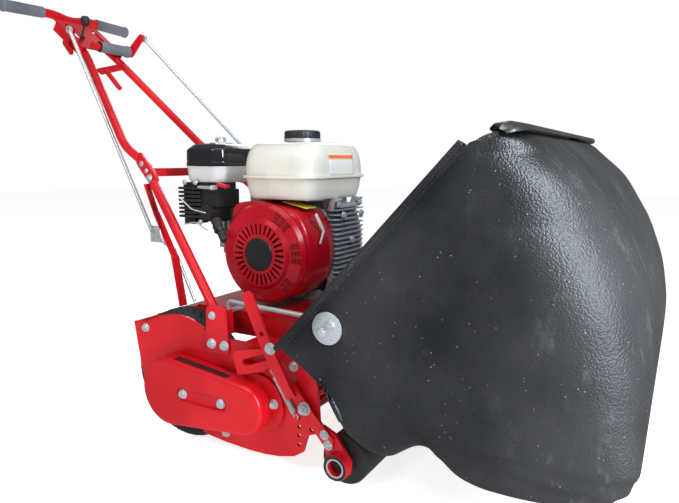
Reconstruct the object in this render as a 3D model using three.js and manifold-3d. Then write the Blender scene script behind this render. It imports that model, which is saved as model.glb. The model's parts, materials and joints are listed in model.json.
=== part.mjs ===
import * as THREE from 'three';
import { mergeVertices } from 'three/addons/utils/BufferGeometryUtils.js';
import Module from 'manifold-3d';

// Powered reel mower with a grass catcher. Millimetres, +Z up, +X towards the catcher,
// +Y to the operator's left. The wheel shaft is over x = 0 and the ground is z = 0 until the end.

// Overall
const frameWidth = 530;
const plateThick = 6;
const gap = 0.3;
const wheelRadius = 126;
const wheelWidth = 45;
const tyreDeep = 38;
const rimRadius = wheelRadius - tyreDeep;

// Frame
const deckHeight = 250;
const deckHalfWidth = 196;
const sheet = 3;
const sideTop = 217;

// Reel, bed knife and front roller
const reelX = 190;
const reelZ = 112;
const reelRadius = 61;
const reelShaftRadius = 10;
const bladeCount = 7;
const bladeThick = 3.5;
const bladeDepth = 17;
const bladeTwist = 0.75;
const rollerX = 354;
const rollerZ = 42;
const rollerRadius = 42;

// Drive
const shaftRadius = 10;
const shaftClear = 0.4;
const rearSprocketRadius = 33;
const frontSprocketRadius = 18;
const chainDeep = 7.5;
const coverRearX = 7;
const coverFrontX = 175;
const coverZ = 108.5;
const counterPulleyRadius = 75;
const crankPulleyRadius = 30;
const pulleyY = 114;
const pulleyWidth = 16;

// Handle
const tubeRadius = 9.5;
const barRadius = 11;
const gripRadius = 12.5;
const handleX = -607;
const handleZ = 893;
const handleHalf = 177;

// Engine
const crankX = 122;
const crankZ = 356;
const engineBack = 70;
const recoilY = -173;
const recoilRadius = 96;
const ringRadius = 64;

// Catcher
const catcherHalf = 327;
const catcherWall = 4;
const flangeWide = 17;

const wasm = await Module();
wasm.setup();
const parts = [];

// ---- helpers --------------------------------------------------------------------------------

// A closed three.js geometry as a manifold body.
function body(geometry) {
  const g = geometry.clone();
  g.deleteAttribute('normal');
  g.deleteAttribute('uv');
  const welded = mergeVertices(g, 1e-4);
  const positions = Float32Array.from(welded.attributes.position.array);
  const triangles = [];
  const index = welded.index.array;
  for (let i = 0; i < index.length; i += 3) {
    const a = index[i];
    const b = index[i + 1];
    const c = index[i + 2];
    if (a !== b && b !== c && a !== c) {
      triangles.push(a, b, c);
    }
  }
  const mesh = new wasm.Mesh({
    numProp: 3,
    vertProperties: positions,
    triVerts: Uint32Array.from(triangles),
  });
  mesh.merge();
  return new wasm.Manifold(mesh);
}

function join(list) {
  return list.slice(1).reduce((sum, item) => sum.add(item), list[0]);
}

function flip(item) {
  return item.mirror([0, 1, 0]);
}

function outline(points) {
  const list = points.map(([x, y]) => new THREE.Vector2(x, y));
  return new THREE.Shape(THREE.ShapeUtils.isClockWise(list) ? list.reverse() : list);
}

// Points are (x, z); the body runs from y0 to y1.
function plateXZ(points, y0, y1, holes = []) {
  const shape = points instanceof THREE.Shape ? points : outline(points);
  holes.forEach(([x, z, r]) => {
    const path = new THREE.Path();
    path.absarc(x, z, r, 0, Math.PI * 2, true);
    shape.holes.push(path);
  });
  const g = new THREE.ExtrudeGeometry(shape, { depth: y1 - y0, bevelEnabled: false, curveSegments: 8 });
  g.rotateX(Math.PI / 2);
  g.translate(0, y1, 0);
  return body(g);
}

// Points are (x, y); the body runs from z0 to z1.
function plateXY(points, z0, z1) {
  const shape = points instanceof THREE.Shape ? points : outline(points);
  const g = new THREE.ExtrudeGeometry(shape, { depth: z1 - z0, bevelEnabled: false, curveSegments: 8 });
  g.translate(0, 0, z0);
  return body(g);
}

function block(x0, x1, y0, y1, z0, z1) {
  const g = new THREE.BoxGeometry(x1 - x0, y1 - y0, z1 - z0);
  g.translate((x0 + x1) / 2, (y0 + y1) / 2, (z0 + z1) / 2);
  return body(g);
}

function roundY(x, z, r, y0, y1, sides = 32) {
  const g = new THREE.CylinderGeometry(r, r, y1 - y0, sides);
  g.translate(x, (y0 + y1) / 2, z);
  return body(g);
}

function roundZ(x, y, r, z0, z1, sides = 28, top = r) {
  const g = new THREE.CylinderGeometry(top, r, z1 - z0, sides);
  g.rotateX(Math.PI / 2);
  g.translate(x, y, (z0 + z1) / 2);
  return body(g);
}

// Profile points are (radius, y), closed on themselves or on the axis.
function turnY(profile, x, z, sides = 48) {
  const g = new THREE.LatheGeometry(profile.map(([r, y]) => new THREE.Vector2(r, y)), sides);
  g.translate(x, 0, z);
  return body(g);
}

function rod(p, q, r, sides = 16) {
  const a = new THREE.Vector3(...p);
  const b = new THREE.Vector3(...q);
  const length = a.distanceTo(b);
  const g = new THREE.CylinderGeometry(r, r, length, sides);
  const turn = new THREE.Quaternion();
  turn.setFromUnitVectors(new THREE.Vector3(0, 1, 0), b.clone().sub(a).normalize());
  g.applyQuaternion(turn);
  g.translate((a.x + b.x) / 2, (a.y + b.y) / 2, (a.z + b.z) / 2);
  return body(g);
}

// A flat bar from p to q: width along side, thick across both.
function flatBar(p, q, side, width, thick, extra = 0) {
  const a = new THREE.Vector3(...p);
  const b = new THREE.Vector3(...q);
  const along = b.clone().sub(a);
  const length = along.length();
  along.normalize();
  const across = new THREE.Vector3(...side);
  across.addScaledVector(along, -across.dot(along)).normalize();
  const normal = new THREE.Vector3().crossVectors(along, across);
  const g = new THREE.BoxGeometry(length + 2 * extra, width, thick);
  g.applyMatrix4(new THREE.Matrix4().makeBasis(along, across, normal));
  g.translate((a.x + b.x) / 2, (a.y + b.y) / 2, (a.z + b.z) / 2);
  return body(g);
}

// A round tube through the points, its corners rounded by the bend length.
function bentTube(points, r, bend = 20, sides = 16) {
  const corners = points.map((p) => new THREE.Vector3(...p));
  const path = new THREE.CurvePath();
  let from = corners[0];
  for (let i = 1; i < corners.length - 1; i += 1) {
    const here = corners[i];
    const before = here.clone().add(corners[i - 1].clone().sub(here).setLength(bend));
    const after = here.clone().add(corners[i + 1].clone().sub(here).setLength(bend));
    path.add(new THREE.LineCurve3(from, before));
    path.add(new THREE.QuadraticBezierCurve3(before, here, after));
    from = after;
  }
  path.add(new THREE.LineCurve3(from, corners[corners.length - 1]));
  const samples = [];
  path.curves.forEach((curve, i) => {
    const count = curve.isLineCurve3 ? 1 : 4;
    for (let k = 0; k < count; k += 1) {
      samples.push(curve.getPoint(k / count));
    }
    if (i === path.curves.length - 1) {
      samples.push(curve.getPoint(1));
    }
  });
  const guide = new THREE.CatmullRomCurve3(samples, false, 'chordal', 0.0);
  guide.getPointAt = (t) => {
    const at = t * (samples.length - 1);
    const low = Math.min(Math.floor(at), samples.length - 2);
    return samples[low].clone().lerp(samples[low + 1], at - low);
  };
  guide.getSpacedPoints = () => samples.map((p) => p.clone());
  const shape = new THREE.Shape();
  shape.absarc(0, 0, r, 0, Math.PI * 2, false);
  const g = new THREE.ExtrudeGeometry(shape, {
    steps: samples.length - 1,
    extrudePath: guide,
    curveSegments: sides / 2,
  });
  return body(g);
}

// Outline of a belt running round two pulleys.
function beltOutline(x1, z1, r1, x2, z2, r2, steps = 12) {
  const distance = Math.hypot(x2 - x1, z2 - z1);
  const heading = Math.atan2(z2 - z1, x2 - x1);
  const spread = Math.acos((r1 - r2) / distance);
  const points = [];
  for (let i = 0; i <= steps; i += 1) {
    const angle = heading - spread + (2 * spread * i) / steps;
    points.push([x2 + r2 * Math.cos(angle), z2 + r2 * Math.sin(angle)]);
  }
  for (let i = 0; i <= steps; i += 1) {
    const angle = heading + spread + (2 * (Math.PI - spread) * i) / steps;
    points.push([x1 + r1 * Math.cos(angle), z1 + r1 * Math.sin(angle)]);
  }
  return points;
}

// A body of soft rounded rectangles stacked in z: rows are (z, share of full size).
function softBox(cx, cy, halfX, halfY, power, rows, sides = 40) {
  const profile = [new THREE.Vector2(0, rows[0][0])];
  rows.forEach(([z, share]) => profile.push(new THREE.Vector2(share, z)));
  profile.push(new THREE.Vector2(0, rows[rows.length - 1][0]));
  const g = new THREE.LatheGeometry(profile, sides);
  g.rotateX(Math.PI / 2);
  const at = g.attributes.position;
  for (let i = 0; i < at.count; i += 1) {
    const angle = Math.atan2(at.getY(i), at.getX(i));
    const share = Math.hypot(at.getX(i), at.getY(i));
    const c = Math.abs(Math.cos(angle));
    const s = Math.abs(Math.sin(angle));
    const reach = share / (c ** power + s ** power) ** (1 / power);
    at.setX(i, cx + halfX * reach * Math.cos(angle));
    at.setY(i, cy + halfY * reach * Math.sin(angle));
  }
  return body(g);
}

function add(name, made, colour, roughness = 0.4, metalness = 0) {
  const mesh = made.getMesh();
  const g = new THREE.BufferGeometry();
  g.setAttribute('position', new THREE.Float32BufferAttribute(mesh.vertProperties, 3));
  g.setIndex(Array.from(mesh.triVerts));
  g.computeVertexNormals();
  const part = new THREE.Mesh(g, new THREE.MeshStandardMaterial({ color: colour, roughness, metalness }));
  part.name = name;
  parts.push(part);
}

const red = 0xc40d1e;
const engineRed = 0xa80a18;
const zinc = 0xb9bcc0;
const blackPlastic = 0x36363a;
const gripGrey = 0x55585f;
const castGrey = 0x9a9da3;
const tankCream = 0xe9e4d6;
const half = frameWidth / 2;
const inner = half - plateThick;

// ---- side plates ----------------------------------------------------------------------------

const bedPivotX = 292;
const bedPivotZ = 127;
const springHoleX = 272;
const springHoles = [102, 86, 70, 54];
const sideOutline = [
  [-118, sideTop], [-102, 123], [-95, 100], [-60, 64], [0, 58], [40, 46], [59, 24], [110, 19],
  [166, 17], [200, 18], [232, 22], [262, 30], [280, 42], [285, 60], [290, 74], [305, 80],
  [314, 86], [312, 110], [310, 145], [309, 165], [303, 184], [293, 199], [280, 208], [257, 211],
  [240, 214], [82, sideTop], [55, 233], [30, 242], [5, 245], [-20, 243], [-45, 237], [-70, 228],
  [-88, 220],
];
const sideHoles = [
  [0, wheelRadius, shaftRadius + shaftClear],
  [reelX, reelZ, reelShaftRadius + shaftClear],
  [298, 86, 5],
  ...springHoles.map((z) => [springHoleX, z, 3.5]),
];
const bossRadius = 54;
const reelBoss = plateXZ(
  (() => {
    const disc = new THREE.Shape();
    disc.absarc(reelX, reelZ, bossRadius, 0, Math.PI * 2, false);
    return disc;
  })(),
  -half - 6, -half + 1, [[reelX, reelZ, reelShaftRadius + shaftClear]],
);
const sidePlate = plateXZ(outline(sideOutline), -half, -inner, sideHoles).add(reelBoss);
add('side_plate_right', sidePlate, red);
add('side_plate_left', flip(sidePlate), red);

// ---- deck, rear cover and cross pieces ------------------------------------------------------

const beltLoop = beltOutline(0, wheelRadius, counterPulleyRadius, crankX, crankZ, crankPulleyRadius);
const deckFront = 262;
const deckBack = -12;
const deckTop = plateXZ(
  [
    [deckBack, deckHeight - sheet], [deckBack, deckHeight], [deckFront + 1, deckHeight], [290, 196], [290, 176],
    [287, 176], [287, 195], [deckFront - 1, deckHeight - sheet],
  ],
  -deckHalfWidth, deckHalfWidth,
);
const deckSide = block(deckBack + 1, deckFront - 2, -deckHalfWidth + 0.5, -deckHalfWidth + sheet, 204, deckHeight - 1);
const deckEar = block(142, 240, -inner + gap, -deckHalfWidth + 1, 206, 209);
const beltSlot = block(-9, 158, pulleyY - 6, pulleyY + pulleyWidth + 6, deckHeight - 10, deckHeight + 10);
const idlerPost = plateXZ([[-14, deckHeight - 1], [14, deckHeight - 1], [3, 330], [-14, 330]], 176, 180)
  .add(roundY(-6, 322, 5, 175.3, 177, 16));
const deck = join([deckTop, deckSide, flip(deckSide), deckEar, flip(deckEar), idlerPost]).subtract(beltSlot);
add('engine_deck', deck, red);

const coverHalf = inner - wheelWidth - 8;
const rearCover = plateXZ(
  [
    [-118, 118], [-115, 118], [-115, 215], [deckBack - gap - 2, 243], [deckBack - gap - 2, 247],
    [-118, 218],
  ],
  -coverHalf, coverHalf,
);
const rearWing = plateXZ([[-118, 192], [-115, 192], [-115, 214], [-104, 216], [-104, 219], [-118, 216.5]],
  -inner + gap, -coverHalf + 1);
add('rear_cover', join([rearCover, rearWing, flip(rearWing)]), red);

const frontTube = roundY(300, 152, 10.5, -inner + gap, inner - gap, 24);
add('front_cross_tube', frontTube, red);

const bedX = reelX;
const bedTop = reelZ - reelRadius - 1.5;
const bedBar = plateXZ(
  [
    [bedX - 8, bedTop - 3], [bedX + 14, bedTop - 3], [bedX + 14, bedTop], [bedX + 17, bedTop],
    [bedX + 17, bedTop - 6], [bedX - 4, bedTop - 8], [bedX - 14, bedTop - 8], [bedX - 44, bedTop + 2],
    [bedX - 44, bedTop + 8], [bedX - 38, bedTop + 8], [bedX - 14, bedTop - 2],
  ],
  -inner + gap, inner - gap,
);
add('bed_knife', bedBar, 0x6d6a66, 0.5, 0.6);

// ---- chain cover and chain ------------------------------------------------------------------

const coverFace = -half - 40;
const coverOuter = plateXZ(beltOutline(coverRearX, coverZ, 65, coverFrontX, coverZ, 46, 20), coverFace, -half - gap);
const coverInner = plateXZ(beltOutline(coverRearX, coverZ, 62, coverFrontX, coverZ, 43, 20), coverFace + 3, -half + 1);
const recess = plateXZ(beltOutline(41.5, 110, 11, 134, 110, 11, 10), coverFace - 1, coverFace + 5);
const recessWall = plateXZ(beltOutline(41.5, 110, 13, 134, 110, 13, 10), coverFace + 1, coverFace + 8);
const bossCut = roundY(reelX, reelZ, bossRadius + 0.6, -half - 6 - gap, -half + 1, 48);
const coverPost = roundY(88, 110, 8, coverFace + 7, -half - gap, 16);
add('chain_cover', coverOuter.subtract(coverInner).add(recessWall).subtract(recess).add(coverPost)
  .subtract(bossCut), red, 0.25);

const chainY0 = -half - 26;
const chainY1 = -half - 17;
const chainOut = beltOutline(0, wheelRadius, rearSprocketRadius + chainDeep, reelX, reelZ,
  frontSprocketRadius + chainDeep, 14);
const chainIn = beltOutline(0, wheelRadius, rearSprocketRadius + 1, reelX, reelZ,
  frontSprocketRadius + 1, 14);
add('drive_chain', plateXZ(chainOut, chainY0, chainY1).subtract(plateXZ(chainIn, chainY0 - 1, chainY1 + 1)),
  0x4b4b4d, 0.4, 0.8);

// ---- wheels and the shaft through them ------------------------------------------------------

const tyreOut = inner - 3;
const tyreIn = tyreOut - wheelWidth;
const flatDrop = 0.35;
const tyre = turnY([
  [rimRadius, -tyreOut + 4], [wheelRadius - 22, -tyreOut], [wheelRadius - 8, -tyreOut + 3],
  [wheelRadius, -tyreOut + 13], [wheelRadius, -tyreIn - 13], [wheelRadius - 8, -tyreIn - 3],
  [wheelRadius - 22, -tyreIn], [rimRadius, -tyreIn - 4], [rimRadius, -tyreOut + 4],
], 0, wheelRadius, 40);
const ground = block(-60, 60, -inner, inner, -10, flatDrop);
add('tyre_right', tyre.subtract(ground), 0x1c1c1e, 0.85);
add('tyre_left', flip(tyre.subtract(ground)), 0x1c1c1e, 0.85);

const hub = turnY([
  [shaftRadius + shaftClear, -tyreOut + 2], [20, -tyreOut + 2], [22, -tyreOut + 12],
  [rimRadius - 14, -tyreOut + 14], [rimRadius - 10, -tyreOut + 5], [rimRadius - gap, -tyreOut + 5],
  [rimRadius - gap, -tyreIn - 5], [rimRadius - 10, -tyreIn - 5], [rimRadius - 13, -tyreOut + 17],
  [22, -tyreOut + 15], [20, -tyreIn - 2],
  [shaftRadius + shaftClear, -tyreIn - 2], [shaftRadius + shaftClear, -tyreOut + 2],
], 0, wheelRadius, 26);
add('wheel_hub_right', hub, 0xc9c9c7, 0.5);
add('wheel_hub_left', flip(hub), 0xc9c9c7, 0.5);

const sprocketRear = roundY(0, wheelRadius, rearSprocketRadius, chainY0 + 2, chainY1 - 2, 24);
const counterShaft = roundY(0, wheelRadius, shaftRadius, -half - 31, half + 8, 24);
const counterPulley = turnY([
  [0, pulleyY - 2], [counterPulleyRadius + 6, pulleyY - 2], [counterPulleyRadius - 5.2, pulleyY + 6],
  [counterPulleyRadius - 5.2, pulleyY + 10], [counterPulleyRadius + 6, pulleyY + pulleyWidth + 2],
  [0, pulleyY + pulleyWidth + 2],
], 0, wheelRadius, 32);
add('drive_shaft', join([counterShaft, sprocketRear, counterPulley]), 0x8d9095, 0.35, 0.8);

// ---- reel -----------------------------------------------------------------------------------

const sprocketReel = roundY(reelX, reelZ, frontSprocketRadius, chainY0 + 2, chainY1 - 2, 20);
const reelShaft = roundY(reelX, reelZ, reelShaftRadius, -half - 31, half + 12, 24);
add('reel_shaft', join([reelShaft, sprocketReel]), 0x8d9095, 0.35, 0.8);

// One blade: a flat strip twisted round the shaft.
function blade(start) {
  const length = 2 * inner - 16;
  const g = new THREE.BoxGeometry(bladeDepth, length, bladeThick, 1, 9, 1);
  const at = g.attributes.position;
  const radius = reelRadius - bladeDepth / 2;
  for (let i = 0; i < at.count; i += 1) {
    const y = at.getY(i);
    const angle = start + (bladeTwist * 2 * y) / length;
    const out = radius + at.getX(i);
    const side = at.getZ(i);
    at.setX(i, out * Math.cos(angle) - side * Math.sin(angle));
    at.setZ(i, out * Math.sin(angle) + side * Math.cos(angle));
  }
  g.translate(reelX, 0, reelZ);
  return body(g);
}
const spiders = [-inner + 22, -85, 85, inner - 22].map((y) => turnY([
  [reelShaftRadius + gap, y - 9], [18, y - 9], [20, y - 3], [reelRadius - 14, y - 3], [reelRadius - 14, y + 3],
  [20, y + 3], [18, y + 9], [reelShaftRadius + gap, y + 9], [reelShaftRadius + gap, y - 9],
], reelX, reelZ, 16));
const blades = [];
for (let i = 0; i < bladeCount; i += 1) {
  blades.push(blade((i / bladeCount) * Math.PI * 2));
}
add('reel_blades', join([...spiders, ...blades]), red, 0.45);

// ---- height lever, roller and spring --------------------------------------------------------

const leverOut = -half - 27;
const leverIn = -half - 13;
const leverThick = 5;
function leverSide() {
  const top = plateXZ([
    [178, 303], [182, 312], [190, 316], [198, 312], [201, 304], [240, 223], [272, 166], [256, 157],
    [219, 214],
  ], leverOut, leverOut + leverThick, [[217, 246, 4.5]]);
  const joggle = plateXZ([[256, 157.2], [272, 166.2], [283, 151], [267, 141]], leverOut, leverIn + leverThick);
  const lower = plateXZ([
    [267, 141], [283, 151], [309, 122], [346, 86], [346, 76], [337, 71], [326, 74], [296, 106], [279, 124],
  ], leverIn, leverIn + leverThick, [[bedPivotX, bedPivotZ, 6.4]]);
  const cut = plateXZ([[250, 150], [275, 172], [290, 152], [262, 134]], leverOut + leverThick, leverIn, []);
  const bar = join([top, joggle.subtract(cut), lower]);
  const armPlate = plateXZ([
    [324, 103], [347, 93], [376, 52], [374, 30], [362, 20], [346, 20], [334, 30], [331, 52], [322, 80],
  ], leverIn + leverThick - 0.01, leverIn + leverThick + 6);
  const ring = turnY([
    [13, leverIn + leverThick - 13], [21, leverIn + leverThick - 13], [22, leverIn + leverThick - 11],
    [22, leverIn + leverThick + 6], [13, leverIn + leverThick + 6], [13, leverIn + leverThick - 13],
  ], rollerX, rollerZ, 24);
  const bore = roundY(rollerX, rollerZ, 13, leverIn - 20, leverIn + 30, 24);
  return bar.add(armPlate.subtract(bore)).add(ring);
}
const leverRight = leverSide();
add('height_lever_right', leverRight, red, 0.3);
add('height_lever_left', flip(leverRight), red, 0.3);

const rollerEnd = inner - 6;
const roller = turnY([
  [0, -half - 9], [12.6, -half - 9], [12.6, -rollerEnd - 2], [rollerRadius - 4, -rollerEnd - 2],
  [rollerRadius, -rollerEnd + 2], [rollerRadius, rollerEnd - 2], [rollerRadius - 4, rollerEnd + 2],
  [12.6, rollerEnd + 2], [12.6, half + 9], [0, half + 9],
], rollerX, rollerZ, 28);
const rollerHollow = turnY([
  [14, -rollerEnd + 3], [rollerRadius - 4, -rollerEnd + 3], [rollerRadius - 4, rollerEnd - 3], [14, rollerEnd - 3],
  [14, -rollerEnd + 3],
], rollerX, rollerZ, 28);
const rollerPort = roundY(rollerX, rollerZ + 26, 5, -rollerEnd - 5, rollerEnd + 5, 12);
add('front_roller', roller.subtract(rollerHollow).subtract(rollerPort).subtract(block(rollerX - 30, rollerX + 30, -half, half, -10, flatDrop)),
  0x1d1d1f, 0.6);

const springTop = [229, -half - 16, 184];
const springLow = [springHoleX, -half - 5.4, 102];
function springBody() {
  const a = new THREE.Vector3(...springTop);
  const b = new THREE.Vector3(...springLow);
  const along = b.clone().sub(a).normalize();
  const start = a.clone().addScaledVector(along, 9);
  const length = a.distanceTo(b) - 18;
  const profile = [new THREE.Vector2(0, 0)];
  const turns = 16;
  for (let i = 0; i < turns; i += 1) {
    profile.push(new THREE.Vector2(4.2, (length * i) / turns));
    profile.push(new THREE.Vector2(5, (length * (i + 0.5)) / turns));
  }
  profile.push(new THREE.Vector2(4.2, length));
  profile.push(new THREE.Vector2(0, length));
  const g = new THREE.LatheGeometry(profile, 9);
  const turn = new THREE.Quaternion().setFromUnitVectors(new THREE.Vector3(0, 1, 0), along);
  g.applyQuaternion(turn);
  g.translate(start.x, start.y, start.z);
  const hookTop = rod(springTop, [start.x + along.x, start.y, start.z + along.z], 1.4, 8);
  const end = a.clone().addScaledVector(along, a.distanceTo(b) - 10);
  const hookLow = rod([end.x, end.y, end.z], springLow, 1.4, 8);
  return join([body(g), hookTop, hookLow]);
}
add('lever_spring', springBody(), zinc, 0.3, 0.9);

const adjuster = (() => {
  const face = plateXZ([
    [150, 196], [153, 204], [162, 208], [214, 219], [243, 225], [250, 214], [240, 197], [212, 178], [160, 163],
  ], leverOut + leverThick + gap, leverOut + leverThick + 4);
  const slot = plateXZ(beltOutline(176, 188, 6, 228, 209, 6, 8), leverOut, leverOut + 30);
  const foot = block(156, 206, leverOut + leverThick + 3.9, -half - gap, 180, 184);
  const back = block(156, 206, -half - gap - 3, -half - gap, 171, 202);
  return join([face.subtract(slot), foot, back]);
})();
add('adjuster_bracket_right', adjuster, red, 0.3);
add('adjuster_bracket_left', flip(adjuster), red, 0.3);

// ---- catcher rods ---------------------------------------------------------------------------

const hangRod = bentTube([
  [84, -218, deckHeight + 1], [85, -218, 272], [120, -218, 270], [356, -218, 262],
], 4.5, 9, 8);
const rodFoot = block(76, 92, -226, -deckHalfWidth + 16, deckHeight + gap, deckHeight + 4);
add('catcher_rod_right', hangRod.add(rodFoot), zinc, 0.3, 0.9);
add('catcher_rod_left', flip(hangRod.add(rodFoot)), zinc, 0.3, 0.9);

// ---- handle ---------------------------------------------------------------------------------

const pivotX = 88.5;
const pivotZ = 254;
const bracket = plateXZ([
  [72, 193], [78, 187], [122, 187], [126, 192], [123, 268], [118, 275], [84, 275], [76, 268],
], -half - gap - 4, -half - gap).add(block(118, 123, -half - gap - 0.5, -half + 14, 225, 268));
add('handle_bracket_right', bracket, red, 0.3);
add('handle_bracket_left', flip(bracket), red, 0.3);

const jointPoint = [-196, -140, 508];
const bendPoint = [-279, -127, 562];
const lowDirection = new THREE.Vector3(-284.5, 111, 254).normalize();
const lowStart = [pivotX, -half + 11, pivotZ];
const lowEnd = [jointPoint[0] + 26, jointPoint[1] - 10, jointPoint[2] - 24];
const lowTongueA = [lowEnd[0] + 6, lowEnd[1] + 2, lowEnd[2] - 5];
const lowTongueB = [jointPoint[0] - 30, jointPoint[1] + 2.6, jointPoint[2] + 27];
const side = new THREE.Vector3().crossVectors(lowDirection, new THREE.Vector3(0, 1, 0)).normalize();
const tongueSide = [side.x, side.y, side.z];
const lowTube = join([
  rod(lowStart, lowEnd, tubeRadius, 14),
  flatBar(lowTongueA, lowTongueB, tongueSide, 26, 4),
  roundY(pivotX, pivotZ, 12, -half + gap, -half + 22, 20),
]);
add('lower_handle_right', lowTube, red, 0.3);
add('lower_handle_left', flip(lowTube), red, 0.3);

const slope = new THREE.Vector3(-118, 0, 89).normalize();
const consoleNormal = new THREE.Vector3(89, 0, 118).normalize();
const consoleLow = new THREE.Vector3(-489, 0, 801);
const tubeDrop = tubeRadius + 3 + gap;
const upperTop = [
  handleX + 26 - consoleNormal.x * tubeDrop, -32, handleZ - 20 - consoleNormal.z * tubeDrop,
];
const upperMid = [
  consoleLow.x - consoleNormal.x * tubeDrop, -46, consoleLow.z - consoleNormal.z * tubeDrop,
];
const upperStart = [jointPoint[0] - 34, jointPoint[1] + 9, jointPoint[2] + 26];
const upperTube = join([
  bentTube([upperStart, bendPoint, upperMid, upperTop], tubeRadius, 24, 14),
  flatBar([jointPoint[0] + 24, jointPoint[1] - 1.6, jointPoint[2] - 22],
    [upperStart[0] - 4, upperStart[1] + 1, upperStart[2] + 3], tongueSide, 26, 4),
]);
add('upper_handle_right', upperTube, red, 0.3);
add('upper_handle_left', flip(upperTube), red, 0.3);

add('cross_brace', join([
  block(-203, -199.5, -119, 119, 496, 514),
  block(-219, -199.5, -119, -115.5, 496, 514),
  block(-219, -199.5, 115.5, 119, 496, 514),
]), red, 0.3);

add('handle_stay', join([
  flatBar([-98, -150, 226], [-119, -148, 330], [0, 1, 0], 20, 3.5),
  flatBar([-119, -148, 328], [-168, -148, 420], [0, 1, 0], 16, 3.5, 1),
  flatBar([-168, -148, 418], [-190, -151, 480], [0, 1, 0], 14, 3.5, 1),
]), red, 0.3);

add('top_strap', join([
  flatBar([-452, -47, 744], [-474, 40.5, 768], [0.75, 0, -0.6], 20, 3.5),
  rod([-458, -20, 751], [-402, -28, 704], 6, 14),
]), red, 0.3);

const barMid = [handleX, 0, handleZ - 8];
add('handlebar', bentTube([
  [handleX - 4, -handleHalf, handleZ - 2], [handleX, -48, handleZ + 2], barMid,
  [handleX, 48, handleZ + 2], [handleX - 4, handleHalf, handleZ - 2],
], barRadius, 22, 14), red, 0.3);

const barEnd = new THREE.Vector3(handleX - 4, -handleHalf, handleZ - 2);
const barAlong = new THREE.Vector3(handleX, -48, handleZ + 2).sub(barEnd).normalize();
function alongBar(distance) {
  const at = barEnd.clone().addScaledVector(barAlong, distance);
  return [at.x, at.y, at.z];
}
const grip = join([
  rod(alongBar(-4), alongBar(100), gripRadius + 1, 20),
  rod(alongBar(-4), alongBar(3), gripRadius + 2.5, 20),
]).subtract(rod(alongBar(-gap), alongBar(130), barRadius + gap, 20));
add('grip_right', grip, gripGrey, 0.8);
add('grip_left', flip(grip), gripGrey, 0.8);

const consoleTurn = new THREE.Matrix4().makeBasis(
  slope, new THREE.Vector3(0, 1, 0), new THREE.Vector3().crossVectors(slope, new THREE.Vector3(0, 1, 0)),
);
// Console coordinates: u up the slope, y across, n out of the plate.
function onConsole(made) {
  return made.transform(new THREE.Matrix4().makeTranslation(consoleLow.x, 0, consoleLow.z)
    .multiply(consoleTurn).toArray());
}
function consoleBlock(u0, u1, y0, y1, n0, n1) {
  const sign = consoleTurn.elements[10] > 0 ? 1 : -1;
  return onConsole(block(u0, u1, y0, y1, Math.min(sign * n0, sign * n1), Math.max(sign * n0, sign * n1)));
}
const consolePlate = join([
  consoleBlock(0, 130, -60, 60, 0, 3),
  consoleBlock(0, 118, -60, -57, -22, 0.01),
  consoleBlock(0, 118, 57, 60, -22, 0.01),
]).subtract(consoleBlock(48, 112, -44, -32, -1, 4)).subtract(consoleBlock(30, 104, 30, 42, -1, 4));
add('console', consolePlate, red, 0.3);

// ---- control levers -------------------------------------------------------------------------

const throttleFoot = consoleLow.clone().addScaledVector(slope, 40).addScaledVector(consoleNormal, 3.6);
const throttleTip = [throttleFoot.x + 14, -38, throttleFoot.z + 34];
add('throttle_lever', join([
  rod([throttleFoot.x + 2, -38, throttleFoot.z + 3], throttleTip, 2.6, 10),
  roundY(throttleFoot.x + 3, throttleFoot.z + 4, 5, -42, -34, 16),
  softBox(throttleTip[0] + 4, -38, 11, 9, 3, [
    [throttleTip[2] - 4, 0.6], [throttleTip[2] + 2, 0.95], [throttleTip[2] + 12, 1], [throttleTip[2] + 18, 0.7],
  ], 20),
]), 0x1f1f22, 0.5);

const leverPlateY = -68;
const rightPivot = [-543, 0, 818];
const rightEye = [-512, 0, 843];
const clutchRight = join([
  plateXZ(beltOutline(rightPivot[0], rightPivot[2], 9, rightEye[0], rightEye[2], 8, 8), leverPlateY, leverPlateY + 4),
  plateXZ(beltOutline(rightPivot[0], rightPivot[2], 9, -524, 794, 7, 8), leverPlateY, leverPlateY + 4),
  roundY(rightEye[0], rightEye[2], 3.5, leverPlateY - 12, leverPlateY + 1, 12),
]);
add('clutch_lever_right', clutchRight, red, 0.3);

const leftPivot = [-470, 0, 808];
const leftEye = [-431, 0, 841];
const clutchLeft = join([
  plateXZ(beltOutline(leftPivot[0], leftPivot[2], 12, leftEye[0], leftEye[2], 9, 8), 70, 74),
  roundY(leftPivot[0], leftPivot[2], 9, -46, 70.01, 16),
  roundY(leftPivot[0], leftPivot[2], gripRadius, -26, 58, 20),
  roundY(leftPivot[0], leftPivot[2], gripRadius + 1.5, 57.9, 64, 20),
  roundY(leftEye[0], leftEye[2], 3.5, 73.9, 86, 12),
]);
add('clutch_lever_left', clutchLeft, red, 0.3);

const rodRadius = 4.2;
const rightLow = [-204, -130, 378];
const rodRightTop = [rightEye[0], leverPlateY - 8, rightEye[2]];
const clutchRodRight = rod(rodRightTop, rightLow, rodRadius, 12)
  .add(roundY(rightEye[0], rightEye[2], 9, leverPlateY - 11.5, leverPlateY - 4.5, 18))
  .subtract(roundY(rightEye[0], rightEye[2], 3.5 + gap, leverPlateY - 20, leverPlateY + 4, 16));
add('clutch_rod_right', clutchRodRight, zinc, 0.3, 0.9);

const linkTop = [rightLow[0] + 4, rightLow[1] - 3, rightLow[2] - 12];
add('clutch_link_right', join([
  block(-216, -184, -124.2, -120.6, 352, 388),
  bentTube([[-188, -123, 380], [-176, -125, 352], [-140, -130, 346], [-84, -130, 233]], 3.6, 10, 8),
]), zinc, 0.3, 0.9);

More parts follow.
